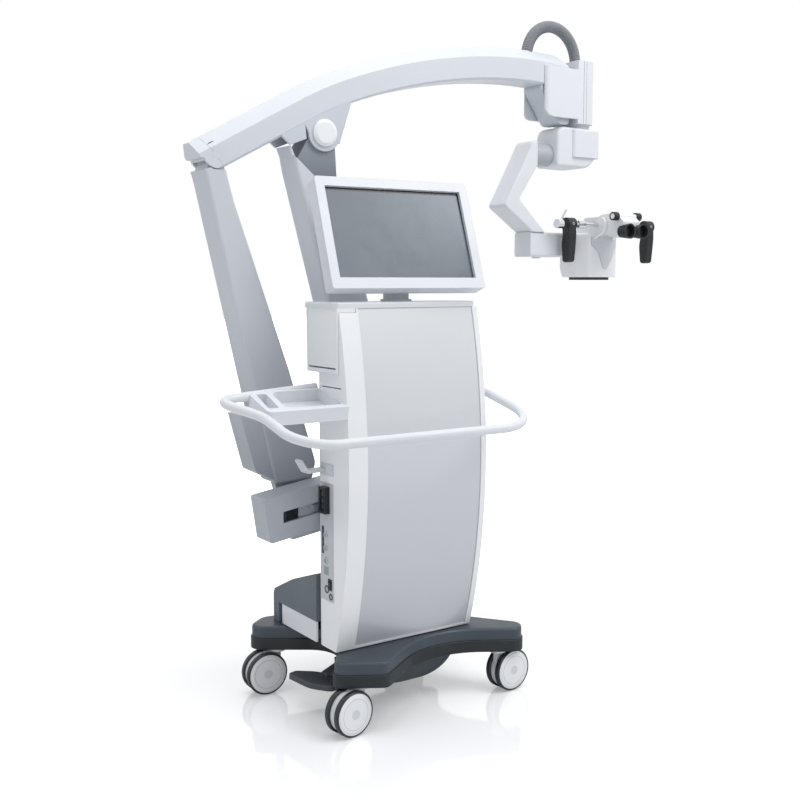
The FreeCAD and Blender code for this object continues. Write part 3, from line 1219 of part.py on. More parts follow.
def tilt_hub():
    """Black pivot hub between the lower housing and the optics carrier."""
    hub = pin_x(ARM_Y, TILT_Z, 33, HOUSING_RIGHT + SEAT_GAP, SCOPE_LEFT)
    journal = pin_x(ARM_Y, TILT_Z, 20, HOUSING_RIGHT - 48, HOUSING_RIGHT + SEAT_GAP)
    ribs = [pin_x(ARM_Y, TILT_Z, 35, HOUSING_RIGHT + 4 + i * 6, HOUSING_RIGHT + 6.5 + i * 6)
            for i in range(3)]
    return fuse(hub, journal, *ribs)


def scope_body():
    """Optics carrier, faceted at its lower left, with two ears for the binocular tube."""
    outline = [(SCOPE_LEFT, SCOPE_FRONT + 56, 16), (884, SCOPE_FRONT, 22),
               (SCOPE_RIGHT - 8, SCOPE_FRONT, 26), (SCOPE_RIGHT, SCOPE_BACK, 30),
               (SCOPE_LEFT, SCOPE_BACK, 16)]
    body = plate_z(outline, SCOPE_BOTTOM, SCOPE_TOP)
    body = round_level(body, 8.0, SCOPE_TOP)
    facet = plate_y([(SCOPE_LEFT - 5, SCOPE_BOTTOM - 5, 0), (SCOPE_LEFT + 24, SCOPE_BOTTOM - 5, 0),
                     (SCOPE_LEFT - 5, SCOPE_BOTTOM + 60, 0)], 0, 400)
    body = cut(body, facet)
    neck = plate_x([(SCOPE_FRONT + 2, SCOPE_TOP - 20, 0), (SCOPE_FRONT + 70, SCOPE_TOP - 20, 0),
                    (SCOPE_FRONT + 64, SCOPE_TOP + 34, 18), (SCOPE_FRONT + 12, SCOPE_TOP + 34, 14)],
                   SCOPE_X - 58, SCOPE_X + 58)
    ears = []
    for side in (-1, 1):
        a = SCOPE_X + side * (TUBE_HALF + 1)
        b = SCOPE_X + side * (TUBE_HALF + 13)
        ear = plate_x([(SCOPE_FRONT + 40, SCOPE_TOP - 10, 0), (SCOPE_FRONT + 40, TUBE_AXIS_Z + 22, 6),
                       (TUBE_AXIS_Y - 24, TUBE_AXIS_Z + 24, 24), (TUBE_AXIS_Y - 24, TUBE_AXIS_Z - 24, 24),
                       (SCOPE_FRONT + 2, SCOPE_TOP - 24, 0)], min(a, b), max(a, b))
        ears.append(ear)
    body = fuse(body, neck, *ears)
    swing = pin_x(TUBE_AXIS_Y, TUBE_AXIS_Z, 34, SCOPE_X - TUBE_HALF - 1, SCOPE_X + TUBE_HALF + 1)
    body = cut(body, swing)
    pin = pin_x(TUBE_AXIS_Y, TUBE_AXIS_Z, 7, SCOPE_X - TUBE_HALF - 12, SCOPE_X + TUBE_HALF + 12)
    throat = rod((SCOPE_X, 150, SCOPE_BOTTOM - 1), (SCOPE_X, 150, SCOPE_BOTTOM + 30), 36)
    return cut(fuse(body, pin), throat)


def scope_shield():
    """Thin light-grey shield plate on the carrier's front."""
    outline = [(890, SCOPE_TOP - 12, 6), (1004, SCOPE_TOP - 12, 6), (1004, 1344, 16), (988, 1300, 40),
               (962, 1262, 8), (944, 1270, 8), (926, 1318, 40), (890, 1346, 12)]
    return cut(plate_y(outline, SCOPE_FRONT - 3, SCOPE_FRONT), scope_body())


def objective():
    """Black bottom plate with the objective's barrel and its front lens."""
    rim = plate_z([(864, 106, 30), (1002, 106, 30), (1002, 194, 30), (864, 194, 30)], SCOPE_BOTTOM - 9,
                  SCOPE_BOTTOM)
    barrel = rod((SCOPE_X, 150, SCOPE_BOTTOM), (SCOPE_X, 150, SCOPE_BOTTOM + 28), 36)
    opening = rod((SCOPE_X, 150, SCOPE_BOTTOM - 10), (SCOPE_X, 150, SCOPE_BOTTOM + 29), 30)
    lens = rod((SCOPE_X, 150, SCOPE_BOTTOM + 4), (SCOPE_X, 150, SCOPE_BOTTOM + 14), 30)
    ring = cut(fuse(rim, barrel), opening)
    return Part.makeCompound([ring, lens])


def binocular_tube():
    """Tilting tube with the cross shaft for its two black knobs."""
    a = SCOPE_X - TUBE_HALF
    b = SCOPE_X + TUBE_HALF
    eye = pin_x(TUBE_AXIS_Y, TUBE_AXIS_Z, 31, a, b)
    body = plate_x([(TUBE_AXIS_Y, TUBE_AXIS_Z - 31, 0), (TUBE_AXIS_Y, TUBE_AXIS_Z + 31, 0),
                    (2, TUBE_AXIS_Z + 34, 20), (-34, TUBE_AXIS_Z + 6, 10), (-30, TUBE_AXIS_Z - 44, 10),
                    (12, TUBE_AXIS_Z - 48, 16)], a, b)
    shaft = pin_x(KNOB_Y, KNOB_Z, 9, SCOPE_X - 62, SCOPE_X + 62)
    body = fuse(body, eye, shaft)
    bore = pin_x(TUBE_AXIS_Y, TUBE_AXIS_Z, 7 + RUNNING_FIT, a - 1, b + 1)
    return cut(body, bore)


def tube_knobs():
    knobs = []
    for side in (-1, 1):
        x0 = SCOPE_X + side * 62
        x1 = SCOPE_X + side * 42
        knob = pin_x(KNOB_Y, KNOB_Z, 14, min(x0, x1), max(x0, x1))
        knobs.append(cut(knob, pin_x(KNOB_Y, KNOB_Z, 9, SCOPE_X - 70, SCOPE_X + 70)))
    return Part.makeCompound(knobs)


def eyepieces():
    """Two eyepieces: barrel, flared rim, rubber cup and lens."""
    pieces = []
    for side in (-1, 1):
        x = SCOPE_X + side * EYE_SPACING / 2
        barrel = rod((x, -20, EYE_Z), (x, -34, EYE_Z), 20)
        cup = cone((x, -34, EYE_Z), (x, -60, EYE_Z), 22, EYE_RADIUS + 3)
        hollow = cone((x, -38, EYE_Z), (x, -61, EYE_Z), 15, EYE_RADIUS - 1)
        body = cut(fuse(barrel, cup), hollow)
        pieces.append(body)
        pieces.append(rod((x, -42, EYE_Z), (x, -38, EYE_Z), 15))
    tube = binocular_tube()
    return Part.makeCompound([cut(p, tube) for p in pieces] + tube_knobs().Solids)


def grip(x):
    """Hand grip: round eye on the coupling rod, neck and a curved handle."""
    half = 17
    eye = pin_x(GRIP_Y, COUPLING_Z, 21, x - half, x + half)
    outline = [(GRIP_Y - 19, COUPLING_Z + 6, 10), (GRIP_Y - 21, COUPLING_Z - 40, 60),
               (GRIP_Y - 15, GRIP_BOTTOM + 22, 60), (GRIP_Y - 12, GRIP_BOTTOM, 10),
               (GRIP_Y + 14, GRIP_BOTTOM - 2, 10), (GRIP_Y + 21, GRIP_BOTTOM + 60, 80),
               (GRIP_Y + 16, COUPLING_Z - 40, 60), (GRIP_Y + 19, COUPLING_Z + 6, 10)]
    handle = plate_x(outline, x - half, x + half)
    handle = handle.makeFillet(6.0, [e for e in handle.Edges if e.BoundBox.XLength < 0.01])
    body = fuse(handle, eye)
    body = cut(body, pin_x(GRIP_Y, COUPLING_Z, COUPLING_RADIUS + RUNNING_FIT, x - 40, x + 40))
    button = rod((x, GRIP_Y - 22, COUPLING_Z - 34), (x, GRIP_Y - 10, COUPLING_Z - 34), 5)
    return fuse(body, button)


def chrome_coupling():
    """Chrome rods that carry both grips, with a clamp lever on the left one."""
    left = pin_x(GRIP_Y, COUPLING_Z, COUPLING_RADIUS, COUPLING_LEFT, SCOPE_X - TUBE_HALF - 13)
    right = pin_x(GRIP_Y, COUPLING_Z, COUPLING_RADIUS, SCOPE_X + TUBE_HALF + 13, COUPLING_RIGHT)
    knob = pin_x(GRIP_Y, COUPLING_Z, 15, COUPLING_LEFT - 4, COUPLING_LEFT + 18)
    collar = pin_x(GRIP_Y, COUPLING_Z, 13, 800, 830)
    lever = rod((COUPLING_LEFT + 8, GRIP_Y, COUPLING_Z), (COUPLING_LEFT + 30, GRIP_Y - 8, COUPLING_Z + 46),
                3.5)
    tip = pin_x(GRIP_Y, COUPLING_Z, 12, COUPLING_RIGHT - 6, COUPLING_RIGHT + 2)
    scope = scope_body()
    lefty = cut(fuse(left, knob, collar, lever), scope)
    righty = cut(fuse(right, tip), scope)
    return Part.makeCompound([largest(lefty), largest(righty)])


def largest(shape):
    return sorted(shape.Solids, key=lambda s: s.Volume)[-1]


NODES = {}


def add(name, shape):
    NODES[name] = shape


def build():
    add("base_casting", base_casting())
    add("base_bumper", fuse(base_bumper(), *pedal_hangers()))
    add("belly_pan", belly_pan())
    for name, (x, y, heading) in CASTERS.items():
        add("caster_body_" + name, caster_body(x, y, heading))
        add("caster_wheel_" + name, caster_wheel(x, y, heading))
    add("brake_pedal", brake_pedal())
    add("column", column())
    add("cabinet_shell", cabinet_shell())
    add("front_panel", front_panel())
    add("top_cover", top_cover())
    add("side_box", side_box())
    add("cabinet_skirt", cabinet_skirt())
    add("rear_cover", rear_cover())
    add("connector_panel", connector_panel())
    add("power_switch", power_switch())
    add("cable_hook", cable_hook())
    add("chassis", chassis())
    add("electronics_units", electronics_units())
    add("handle_bar", handle_bar())
    add("tray", tray())
    add("monitor_post", monitor_post())
    add("monitor_neck", monitor_neck())
    add("monitor_shell", monitor_shell())
    add("monitor_bezel", monitor_bezel())
    add("monitor_screen", monitor_screen())
    add("yoke", yoke())
    add("upright", upright())
    add("upright_head", upright_head())
    add("top_pin", top_pin())
    blank = boom_blank()
    add("boom", boom(blank))
    add("boom_end_cap", boom_end_cap(blank))
    add("boom_brackets", boom_brackets(blank))
    add("rear_pin", rear_pin())
    strut = rear_strut()
    add("rear_strut", strut)
    add("strut_cover", strut_cover(strut))
    add("beam", beam())
    add("weight_box", weight_box())
    add("balance_weight", balance_weight())
    add("head_bracket", head_bracket())
    add("hose", hose())
    add("swivel_housing", swivel_housing())
    add("swivel_cap", swivel_cap())
    add("roll_link", roll_link())
    add("c_arm", c_arm())
    add("lower_housing", lower_housing())
    add("tilt_hub", tilt_hub())
    add("scope_body", scope_body())
    add("scope_shield", scope_shield())
    add("objective", objective())
    add("binocular_tube", binocular_tube())
    add("eyepieces", eyepieces())
    add("left_grip", grip(GRIP_LEFT_X))
    add("right_grip", grip(GRIP_RIGHT_X))
    add("chrome_coupling", chrome_coupling())


build()
os.makedirs("parts", exist_ok=True)
for node, piece in NODES.items():
    piece.exportStep("parts/" + node + ".step")
    print(node, "solids", len(piece.Solids), "valid", piece.isValid(), "volume", round(piece.Volume))
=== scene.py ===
"""Looks of the surgical microscope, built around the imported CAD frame. Metres, +Z up."""

import json
import math

import bmesh
import bpy
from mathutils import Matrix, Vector


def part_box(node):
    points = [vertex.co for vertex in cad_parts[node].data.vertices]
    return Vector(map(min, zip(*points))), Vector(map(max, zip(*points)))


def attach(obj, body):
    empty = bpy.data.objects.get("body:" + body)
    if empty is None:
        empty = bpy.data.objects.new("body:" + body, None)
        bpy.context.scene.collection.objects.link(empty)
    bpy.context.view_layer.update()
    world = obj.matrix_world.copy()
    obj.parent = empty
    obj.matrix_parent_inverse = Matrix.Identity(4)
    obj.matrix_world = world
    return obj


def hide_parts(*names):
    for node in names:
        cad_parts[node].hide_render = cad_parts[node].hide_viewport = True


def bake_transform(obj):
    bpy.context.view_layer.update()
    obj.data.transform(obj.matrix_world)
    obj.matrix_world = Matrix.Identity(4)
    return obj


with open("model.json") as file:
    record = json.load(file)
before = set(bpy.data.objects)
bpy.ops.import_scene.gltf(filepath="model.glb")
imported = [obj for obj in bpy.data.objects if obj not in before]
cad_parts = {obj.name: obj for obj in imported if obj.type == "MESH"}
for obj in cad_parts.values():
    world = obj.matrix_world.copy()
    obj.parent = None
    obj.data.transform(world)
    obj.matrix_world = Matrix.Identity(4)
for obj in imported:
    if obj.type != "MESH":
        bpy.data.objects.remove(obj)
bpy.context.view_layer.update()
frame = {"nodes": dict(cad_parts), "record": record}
nodes = frame["nodes"]
SCENE = bpy.context.scene

# Lengths are in metres. The boom and the hose lie in the plane y = ARM_Y.
ARM_Y = 0.150

# Hose: its two feet, its radius and its ribs
HOSE_START_X = 0.637
HOSE_END_X = 0.850
HOSE_RADIUS = 0.019
HOSE_INSET = 0.0004
HOSE_SEAT = 0.0015
RIB_PITCH = 0.0068
RIB_DEPTH = 0.0017
RIB_STEPS = 6

# Screws at the hand grips and sockets in the connector block
SCREW_X = {"left": 0.764, "right": 1.130}
SCREW_Z = 1.4105
SCREW_RADIUS = 0.0050
SCREW_SINK = 0.0022
SOCKET_HEIGHTS = (0.607, 0.625, 0.643)
SOCKET_Y = -0.061
SOCKET_SINK = 0.005
SOCKET_PROFILE = [(0, 0.0052), (0.0016, 0.0052), (0.0016, 0.0036), (0.0006, 0.0034)]

# Rings on a caster's disc, as radii from its axle
HUB_RADIUS = 0.0135
RING_INSIDE = 0.0415
RING_OUTSIDE = 0.0435
TYRE_INSIDE = 0.0568

# Camera fitted to the photograph
CAMERA_PLACE = (-1.70, -2.56, 1.22)
CAMERA_DOWN = 6.32
CAMERA_TURN = -34.2
LENS = 47.97
SENSOR = 36.0

# Lamps: name, place, aim, size and power in watts
LAMPS = (
    ("key", (1.6, -2.4, 4.2), (0.1, 0.0, 1.0), (2.6, 2.6), 88),
    ("top", (-0.4, 0.6, 4.4), (0.0, 0.1, 1.0), (3.2, 3.2), 58),
    ("left_fill", (-4.0, -0.6, 1.8), (0.0, 0.1, 1.0), (2.4, 2.6), 13),
)
SKY_FILL = 0.56
FLOOR_SIZE = 30.0

BEVEL_SAMPLES = 4
MOTTLING = 0.03


def srgb(r, g, b):
    """Display colour 0-255 to the linear value that shaders take."""
    out = []
    for c in (r, g, b):
        c = c / 255
        out.append(c / 12.92 if c <= 0.04045 else ((c + 0.055) / 1.055) ** 2.4)
    return (*out, 1.0)


def shade(colour, factor):
    """The same colour, darker by a factor."""
    return tuple(c * factor for c in colour[:3]) + (1.0,)


# Materials

class Mat:
    """One node material, with short calls for the nodes that the finishes share."""

    def __init__(self, name):
        self.material = bpy.data.materials.new(name)
        self.material.use_nodes = True
        self.nodes = self.material.node_tree.nodes
        self.links = self.material.node_tree.links
        self.bsdf = self.nodes["Principled BSDF"]
        self.place = self.nodes.new("ShaderNodeTexCoord").outputs["Object"]

    def node(self, kind, **values):
        made = self.nodes.new(kind)
        for key, value in values.items():
            setattr(made, key, value)
        return made

    def put(self, target, value):
        if isinstance(value, bpy.types.NodeSocket):
            self.links.new(value, target)
        else:
            target.default_value = value

    def noise(self, scale, detail=3.0, rough=0.5, stretch=None):
        tex = self.node("ShaderNodeTexNoise")
        tex.inputs["Scale"].default_value = scale
        tex.inputs["Detail"].default_value = detail
        tex.inputs["Roughness"].default_value = rough
        source = self.place
        if stretch:
            shift = self.node("ShaderNodeMapping")
            shift.inputs["Scale"].default_value = stretch
            self.links.new(source, shift.inputs["Vector"])
            source = shift.outputs["Vector"]
        self.links.new(source, tex.inputs["Vector"])
        return tex.outputs["Fac"]

    def span(self, value, low, high, out_low, out_high):
        made = self.node("ShaderNodeMapRange", interpolation_type="SMOOTHSTEP")
        self.put(made.inputs["Value"], value)
        for key, number in (("From Min", low), ("From Max", high),
                            ("To Min", out_low), ("To Max", out_high)):
            made.inputs[key].default_value = number
        return made.outputs["Result"]

    def mix(self, factor, a, b):
        made = self.node("ShaderNodeMix", data_type="RGBA")
        self.put(made.inputs[0], factor)
        self.put(made.inputs[6], a)
        self.put(made.inputs[7], b)
        return made.outputs[2]

    def maths(self, what, a, b=0.0, c=0.0):
        made = self.node("ShaderNodeMath", operation=what)
        self.put(made.inputs[0], a)
        self.put(made.inputs[1], b)
        self.put(made.inputs[2], c)
        return made.outputs[0]

    def axis(self, which):
        split = self.node("ShaderNodeSeparateXYZ")
        self.links.new(self.place, split.inputs[0])
        return split.outputs[which]

    def bump(self, *layers):
        """Bump from (height socket, strength, distance) layers."""
        normal = None
        for height, strength, distance in layers:
            made = self.node("ShaderNodeBump")
            made.inputs["Strength"].default_value = strength
            made.inputs["Distance"].default_value = distance
            self.links.new(height, made.inputs["Height"])
            if normal is not None:
                self.links.new(normal, made.inputs["Normal"])
            normal = made.outputs["Normal"]
        return normal

    def edge_mask(self, radius, low=0.75, high=0.99):
        """1 along edges, where rubbed wear and a painted highlight go, 0 on open faces."""
        bevel = self.node("ShaderNodeBevel", samples=BEVEL_SAMPLES)
        bevel.inputs["Radius"].default_value = radius
        geometry = self.node("ShaderNodeNewGeometry")
        dot = self.node("ShaderNodeVectorMath", operation="DOT_PRODUCT")
        self.links.new(bevel.outputs[0], dot.inputs[0])
        self.links.new(geometry.outputs["Normal"], dot.inputs[1])
        return self.span(dot.outputs["Value"], low, high, 1.0, 0.0)


def coat(name, colour, rough=0.42, metallic=0.0, grain=0.12, soft_edge=0.0018, wear=0.35,
         edge_wear_and_highlight_colour=None, tone=None, clear=0.0):
    """Painted or moulded surface: faint mottling, fine orange peel, soft edges that go lighter in
    patches, partly rubbed wear and partly a painted highlight.
    """
    m = Mat(name)
    cloud = m.noise(2.2, 4.0)
    paint = m.mix(m.span(cloud, 0.35, 0.7, 0.0, 1.0), colour, shade(colour, 1 - MOTTLING))
    if tone:
        paint = tone(m, paint)
    # Edges go lighter in patches: partly rubbed wear, partly a painted highlight along them.
    if wear > 0:
        edge = m.edge_mask(soft_edge * 0.9)
        patches = m.span(m.noise(34.0, 5.0, 0.7), 0.42, 0.7, 0.0, wear)
        rubbed_and_lit_edges = m.maths("MULTIPLY", edge, patches)
        paint = m.mix(rubbed_and_lit_edges, paint, edge_wear_and_highlight_colour or srgb(250, 250, 250))
    m.put(m.bsdf.inputs["Base Color"], paint)
    smear = m.noise(9.0, 5.0, 0.65)
    m.put(m.bsdf.inputs["Roughness"], m.span(smear, 0.3, 0.75, rough - 0.05, rough + 0.09))
    m.bsdf.inputs["Metallic"].default_value = metallic
    if clear:
        m.bsdf.inputs["Coat Weight"].default_value = clear
        m.bsdf.inputs["Coat Roughness"].default_value = 0.12
    normal = m.bump((m.noise(650.0, 2.0), grain, 0.00035),
                    (m.noise(60.0, 2.0), grain * 0.5, 0.0006))
    if soft_edge > 0:
        bevel = m.node("ShaderNodeBevel", samples=BEVEL_SAMPLES)
        bevel.inputs["Radius"].default_value = soft_edge
        first = [n for n in m.nodes if n.type == "BUMP" and not n.inputs["Normal"].is_linked][0]
        m.links.new(bevel.outputs[0], first.inputs["Normal"])
    m.links.new(normal, m.bsdf.inputs["Normal"])
    return m.material


def metal(name, colour, rough=0.16, brushed=0.06):
    """Polished or brushed metal with fine lines and faint handling marks."""
    m = Mat(name)
    lines = m.noise(300.0, 3.0, 0.6, (0.05, 1.0, 1.0))
    marks = m.noise(22.0, 5.0, 0.7)
    tint = m.mix(m.span(marks, 0.4, 0.8, 0.0, 0.35), colour, shade(colour, 0.8))
    m.put(m.bsdf.inputs["Base Color"], tint)
    m.bsdf.inputs["Metallic"].default_value = 1.0
    m.put(m.bsdf.inputs["Roughness"], m.span(marks, 0.3, 0.8, rough, rough + 0.14))
    m.links.new(m.bump((lines, brushed, 0.0004)), m.bsdf.inputs["Normal"])
    return m.material


def rubber(name, colour, rough, grain):
    """Matt rubber with a fine grain and pale dust."""
    m = Mat(name)
    dust = m.noise(14.0, 6.0, 0.7)
    pale = tuple(min(1, c * 1.9 + 0.02) for c in colour[:3]) + (1.0,)
    m.put(m.bsdf.inputs["Base Color"], m.mix(m.span(dust, 0.45, 0.8, 0.0, 0.5), colour, pale))
    m.put(m.bsdf.inputs["Roughness"], m.span(dust, 0.3, 0.8, rough - 0.08, rough + 0.12))
    normal = m.bump((m.noise(900.0, 2.0), grain, 0.0004),
                    (m.noise(120.0, 3.0), grain * 0.5, 0.0006))
    m.links.new(normal, m.bsdf.inputs["Normal"])
    return m.material


WHITE = srgb(243, 244, 246)
PALE = srgb(226, 229, 233)
LIGHT = srgb(214, 217, 221)
GREY = srgb(188, 192, 198)
MID = srgb(140, 146, 154)
DARK = srgb(66, 70, 76)
SLATE = srgb(64, 74, 82)
BLACK = srgb(22, 24, 27)


def strut_shade_tone(m, paint):
    """Painted shade: the strut goes darker towards its foot."""
    return m.mix(m.span(m.axis(2), 0.60, 1.20, 1.0, 0.0), paint, srgb(160, 165, 172))


def shade_below(z_low, z_high, low_colour):
    """Painted shade: the tone goes to low_colour between two heights, in metres, darker downwards."""
    def tone(m, paint):
        return m.mix(m.span(m.axis(2), z_low, z_high, 1.0, 0.0), paint, low_colour)
    return tone


def boxed(m, low, high, soft=0.0004):
    """1 inside an upright box given by two corners in metres, 0 outside."""
    inside = None
    for axis in range(3):
        for edge, sign in ((low[axis], 1), (high[axis], -1)):
            before, after = (0.0, 1.0) if sign > 0 else (1.0, 0.0)
            step = m.span(m.axis(axis), edge - soft, edge + soft, before, after)
            inside = step if inside is None else m.maths("MULTIPLY", inside, step)
    return inside


def around(m, centre, direction, radius):
    """1 beyond radius from an axis through centre, 0 nearer to it."""
    offset = m.node("ShaderNodeVectorMath", operation="SUBTRACT")
    m.links.new(m.place, offset.inputs[0])
    offset.inputs[1].default_value = centre
    across = m.node("ShaderNodeVectorMath", operation="CROSS_PRODUCT")
    m.links.new(offset.outputs[0], across.inputs[0])
    across.inputs[1].default_value = direction
    length = m.node("ShaderNodeVectorMath", operation="LENGTH")
    m.links.new(across.outputs[0], length.inputs[0])
    return m.span(length.outputs["Value"], radius - 0.0003, radius + 0.0003, 0.0, 1.0)


def wheel_finish(name, centre, axle):
    """Pale disc with a dark tyre outside the rim, for one pair of wheels."""
    def tone(m, paint):
        hub = m.maths("SUBTRACT", 1.0, around(m, centre, axle, HUB_RADIUS))
        ring = m.maths("MULTIPLY", around(m, centre, axle, RING_INSIDE),
                       m.maths("SUBTRACT", 1.0, around(m, centre, axle, RING_OUTSIDE)))
        disc = m.mix(m.maths("MULTIPLY", hub, 0.35), paint, srgb(168, 172, 178))
        disc = m.mix(m.maths("MULTIPLY", ring, 0.45), disc, srgb(150, 154, 160))
        return m.mix(around(m, centre, axle, TYRE_INSIDE), disc, srgb(30, 32, 36))
    return coat(name, WHITE, rough=0.4, tone=tone, soft_edge=0.0012)


def socket_finish():
    """Connector panel: bare plate, dark bushes, bright sockets, black inlets and block."""
    def tone(m, paint):
        for low, high, colour in (
                ((-0.30, -0.046, 0.470), (-0.2435, -0.034, 0.548), srgb(52, 54, 58)),
                ((-0.30, -0.068, 0.515), (-0.2475, -0.047, 0.535), srgb(206, 208, 212)),
                ((-0.30, -0.067, 0.442), (-0.2475, -0.045, 0.499), srgb(206, 208, 212)),
                ((-0.30, -0.092, 0.344), (-0.2465, -0.048, 0.405), srgb(20, 21, 24)),
                ((-0.30, -0.079, 0.587), (-0.2462, -0.043, 0.663), srgb(24, 25, 29)),
                ((-0.2475, -0.070, 0.412), (-0.2455, -0.044, 0.436), srgb(150, 154, 160))):
            paint = m.mix(boxed(m, low, high), paint, colour)
        return paint
    return coat("connector_plate", srgb(198, 201, 206), rough=0.4, tone=tone, wear=0.15)


def screen_finish():
    """Dark glass with a painted reflection: a faint emitted sheen, brighter towards its upper right,
    inside a thin black border.
    """
    low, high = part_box("monitor_screen")
    m = Mat("screen_glass")
    inner_low = (low.x + 0.010, -1.0, low.z + 0.012)
    inner_high = (high.x - 0.010, 1.0, high.z - 0.012)
    window = boxed(m, inner_low, inner_high, 0.0006)
    # Painted reflection: the sheen rises towards the right and the top, with a faint cloud.
    right = m.span(m.axis(0), low.x, high.x + 0.15, 0.0, 1.0)
    up = m.span(m.axis(2), low.z - 0.05, high.z + 0.05, 0.0, 1.0)
    glow = m.maths("MULTIPLY", right, up)
    cloud = m.span(m.noise(3.0, 2.0), 0.3, 0.7, -0.03, 0.03)
    colour = m.mix(m.maths("ADD", glow, cloud), srgb(66, 80, 94), srgb(136, 148, 160))
    dark = m.mix(window, srgb(14, 15, 18), m.mix(0.55, colour, srgb(20, 24, 30)))
    m.put(m.bsdf.inputs["Base Color"], dark)
    # The painted reflection is given off as emission inside the border.
    m.put(m.bsdf.inputs["Emission Color"], m.mix(window, (0, 0, 0, 1), colour))
    m.bsdf.inputs["Emission Strength"].default_value = 0.42
    m.put(m.bsdf.inputs["Roughness"], m.span(m.noise(12.0, 5.0, 0.7), 0.3, 0.8, 0.2, 0.32))
    m.links.new(m.bump((m.noise(500.0, 2.0), 0.03, 0.0002)), m.bsdf.inputs["Normal"])
    return m.material


def panel_shade_tone(m, paint):
    """Painted shade: the silver panel is a little darker towards its foot."""
    height = m.span(m.axis(2), 0.25, 1.15, 1.0, 0.0)
    return m.mix(height, paint, srgb(200, 203, 208))


MATS = {
    "white": coat("white_cover", WHITE, rough=0.38, clear=0.25),
    "pale": coat("pale_cover", PALE, rough=0.42),
    "light": coat("light_cover", LIGHT, rough=0.42),
    "arm": coat("arm_paint", srgb(205, 210, 217), rough=0.4),
    "crown": coat("boom_paint", srgb(214, 218, 224), rough=0.36, clear=0.2),
    "strut": coat("strut_shaded_paint", srgb(206, 209, 215), rough=0.45, tone=strut_shade_tone),
    "weight": coat("weight_box_paint", srgb(178, 183, 190), rough=0.45),
    # Painted shadow of the monitor: the mast goes darker from 1.4 m down to 1.0 m.
    "mast": coat("mast_shaded_paint", srgb(216, 219, 225), rough=0.42,
                 tone=shade_below(1.0, 1.4, srgb(190, 194, 201))),
    # Painted shade from the boom: the recessed upright head is dark grey, darker still from 1.64 m
    # down to 1.48 m.
    "neck": coat("neck_shade", srgb(150, 155, 163), rough=0.45,
                 tone=shade_below(1.48, 1.64, srgb(116, 122, 131))),
    "bezel": coat("bezel_paint", srgb(216, 219, 224), rough=0.36, clear=0.2),
    "link": coat("link_paint", srgb(178, 182, 188), rough=0.42),
    "plate": socket_finish(),
    "glass": screen_finish(),
    "silver": coat("silver_panel", srgb(220, 222, 225), rough=0.34, metallic=0.12, clear=0.5,
                   wear=0.1, tone=panel_shade_tone),
    "grey": coat("grey_cover", GREY, rough=0.45),
    "mid": coat("mid_grey_part", MID, rough=0.45),
    "dark": coat("dark_grey_part", DARK, rough=0.5, wear=0.12,
                 edge_wear_and_highlight_colour=srgb(120, 124, 130)),
    # The slate parts' paler edges are partly rubbed wear, partly a painted highlight along the lip.
    "slate": coat("slate_casting", SLATE, rough=0.42, metallic=0.15, wear=0.25,
                  edge_wear_and_highlight_colour=srgb(128, 142, 150)),
    "hump": coat("slate_cover", srgb(98, 107, 115), rough=0.5, wear=0.1,
                 edge_wear_and_highlight_colour=srgb(140, 150, 156)),
    "band": rubber("bumper_band", srgb(20, 27, 31), rough=0.5, grain=0.2),
    "black": coat("black_moulding", BLACK, rough=0.45, wear=0.08,
                  edge_wear_and_highlight_colour=srgb(70, 72, 76), grain=0.3),
    "chrome": metal("chrome", srgb(222, 224, 228), rough=0.08),
    "steel": metal("brushed_steel", srgb(176, 180, 186), rough=0.26, brushed=0.2),
}

FINISH = {
    "white": ["cabinet_shell", "side_box", "scope_body", "binocular_tube", "top_pin"],
    "pale": ["top_cover", "cabinet_skirt", "tray", "handle_bar", "head_bracket",
             "swivel_housing", "swivel_cap", "c_arm", "lower_housing"],
    "bezel": ["monitor_shell", "monitor_bezel"],
    "crown": ["boom", "boom_end_cap", "rear_pin"],
    "arm": ["boom_brackets"],
    "mast": ["upright"],
    "strut": ["rear_strut", "strut_cover"],
    "weight": ["weight_box"],
    "silver": ["front_panel"],
    "light": ["scope_shield", "cable_hook"],
    "plate": ["connector_panel"],
    "glass": ["monitor_screen"],
    "grey": ["monitor_post", "monitor_neck", "yoke", "column"],
    "link": ["roll_link"],
    "neck": ["upright_head"],
    "mid": ["hose"],
    "steel": ["balance_weight"],
    "dark": ["beam", "chassis", "electronics_units", "brake_pedal"],
    "slate": ["base_casting", "belly_pan"],
    "hump": ["rear_cover"],
    "band": ["base_bumper"],
    "black": ["tilt_hub", "objective", "left_grip", "right_grip", "eyepieces",
              "power_switch"],
    "chrome": ["chrome_coupling"],
}


def dress(node, material):
    data = nodes[node].data
    data.materials.clear()
    data.materials.append(material)


for key, members in FINISH.items():
    for member in members:
        dress(member, MATS[key])
axles = {j["name"]: j for j in frame["record"]["behaviour"]["joints"]}
for place in ("front_left", "front_right", "rear_left", "rear_right"):
    axle = axles["roll_" + place]
    dress("caster_body_" + place, MATS["light"])
    dress("caster_wheel_" + place, wheel_finish("wheel_" + place, axle["pos_m"], axle["axis"]))


# Pieces made in mesh

def finish_mesh(name, bm, smooth):
    mesh = bpy.data.meshes.new(name)
    bm.to_mesh(mesh)
    bm.free()
    for face in mesh.polygons:
        face.use_smooth = smooth
    made = bpy.data.objects.new(name, mesh)
    SCENE.collection.objects.link(made)
    return made


def ring(bm, centre, u, v, radius, sides):
    """Ring of vertices round centre, in the plane of the unit vectors u and v."""
    turns = [2 * math.pi * k / sides for k in range(sides)]
    return [bm.verts.new(centre + (u * math.cos(a) + v * math.sin(a)) * radius) for a in turns]


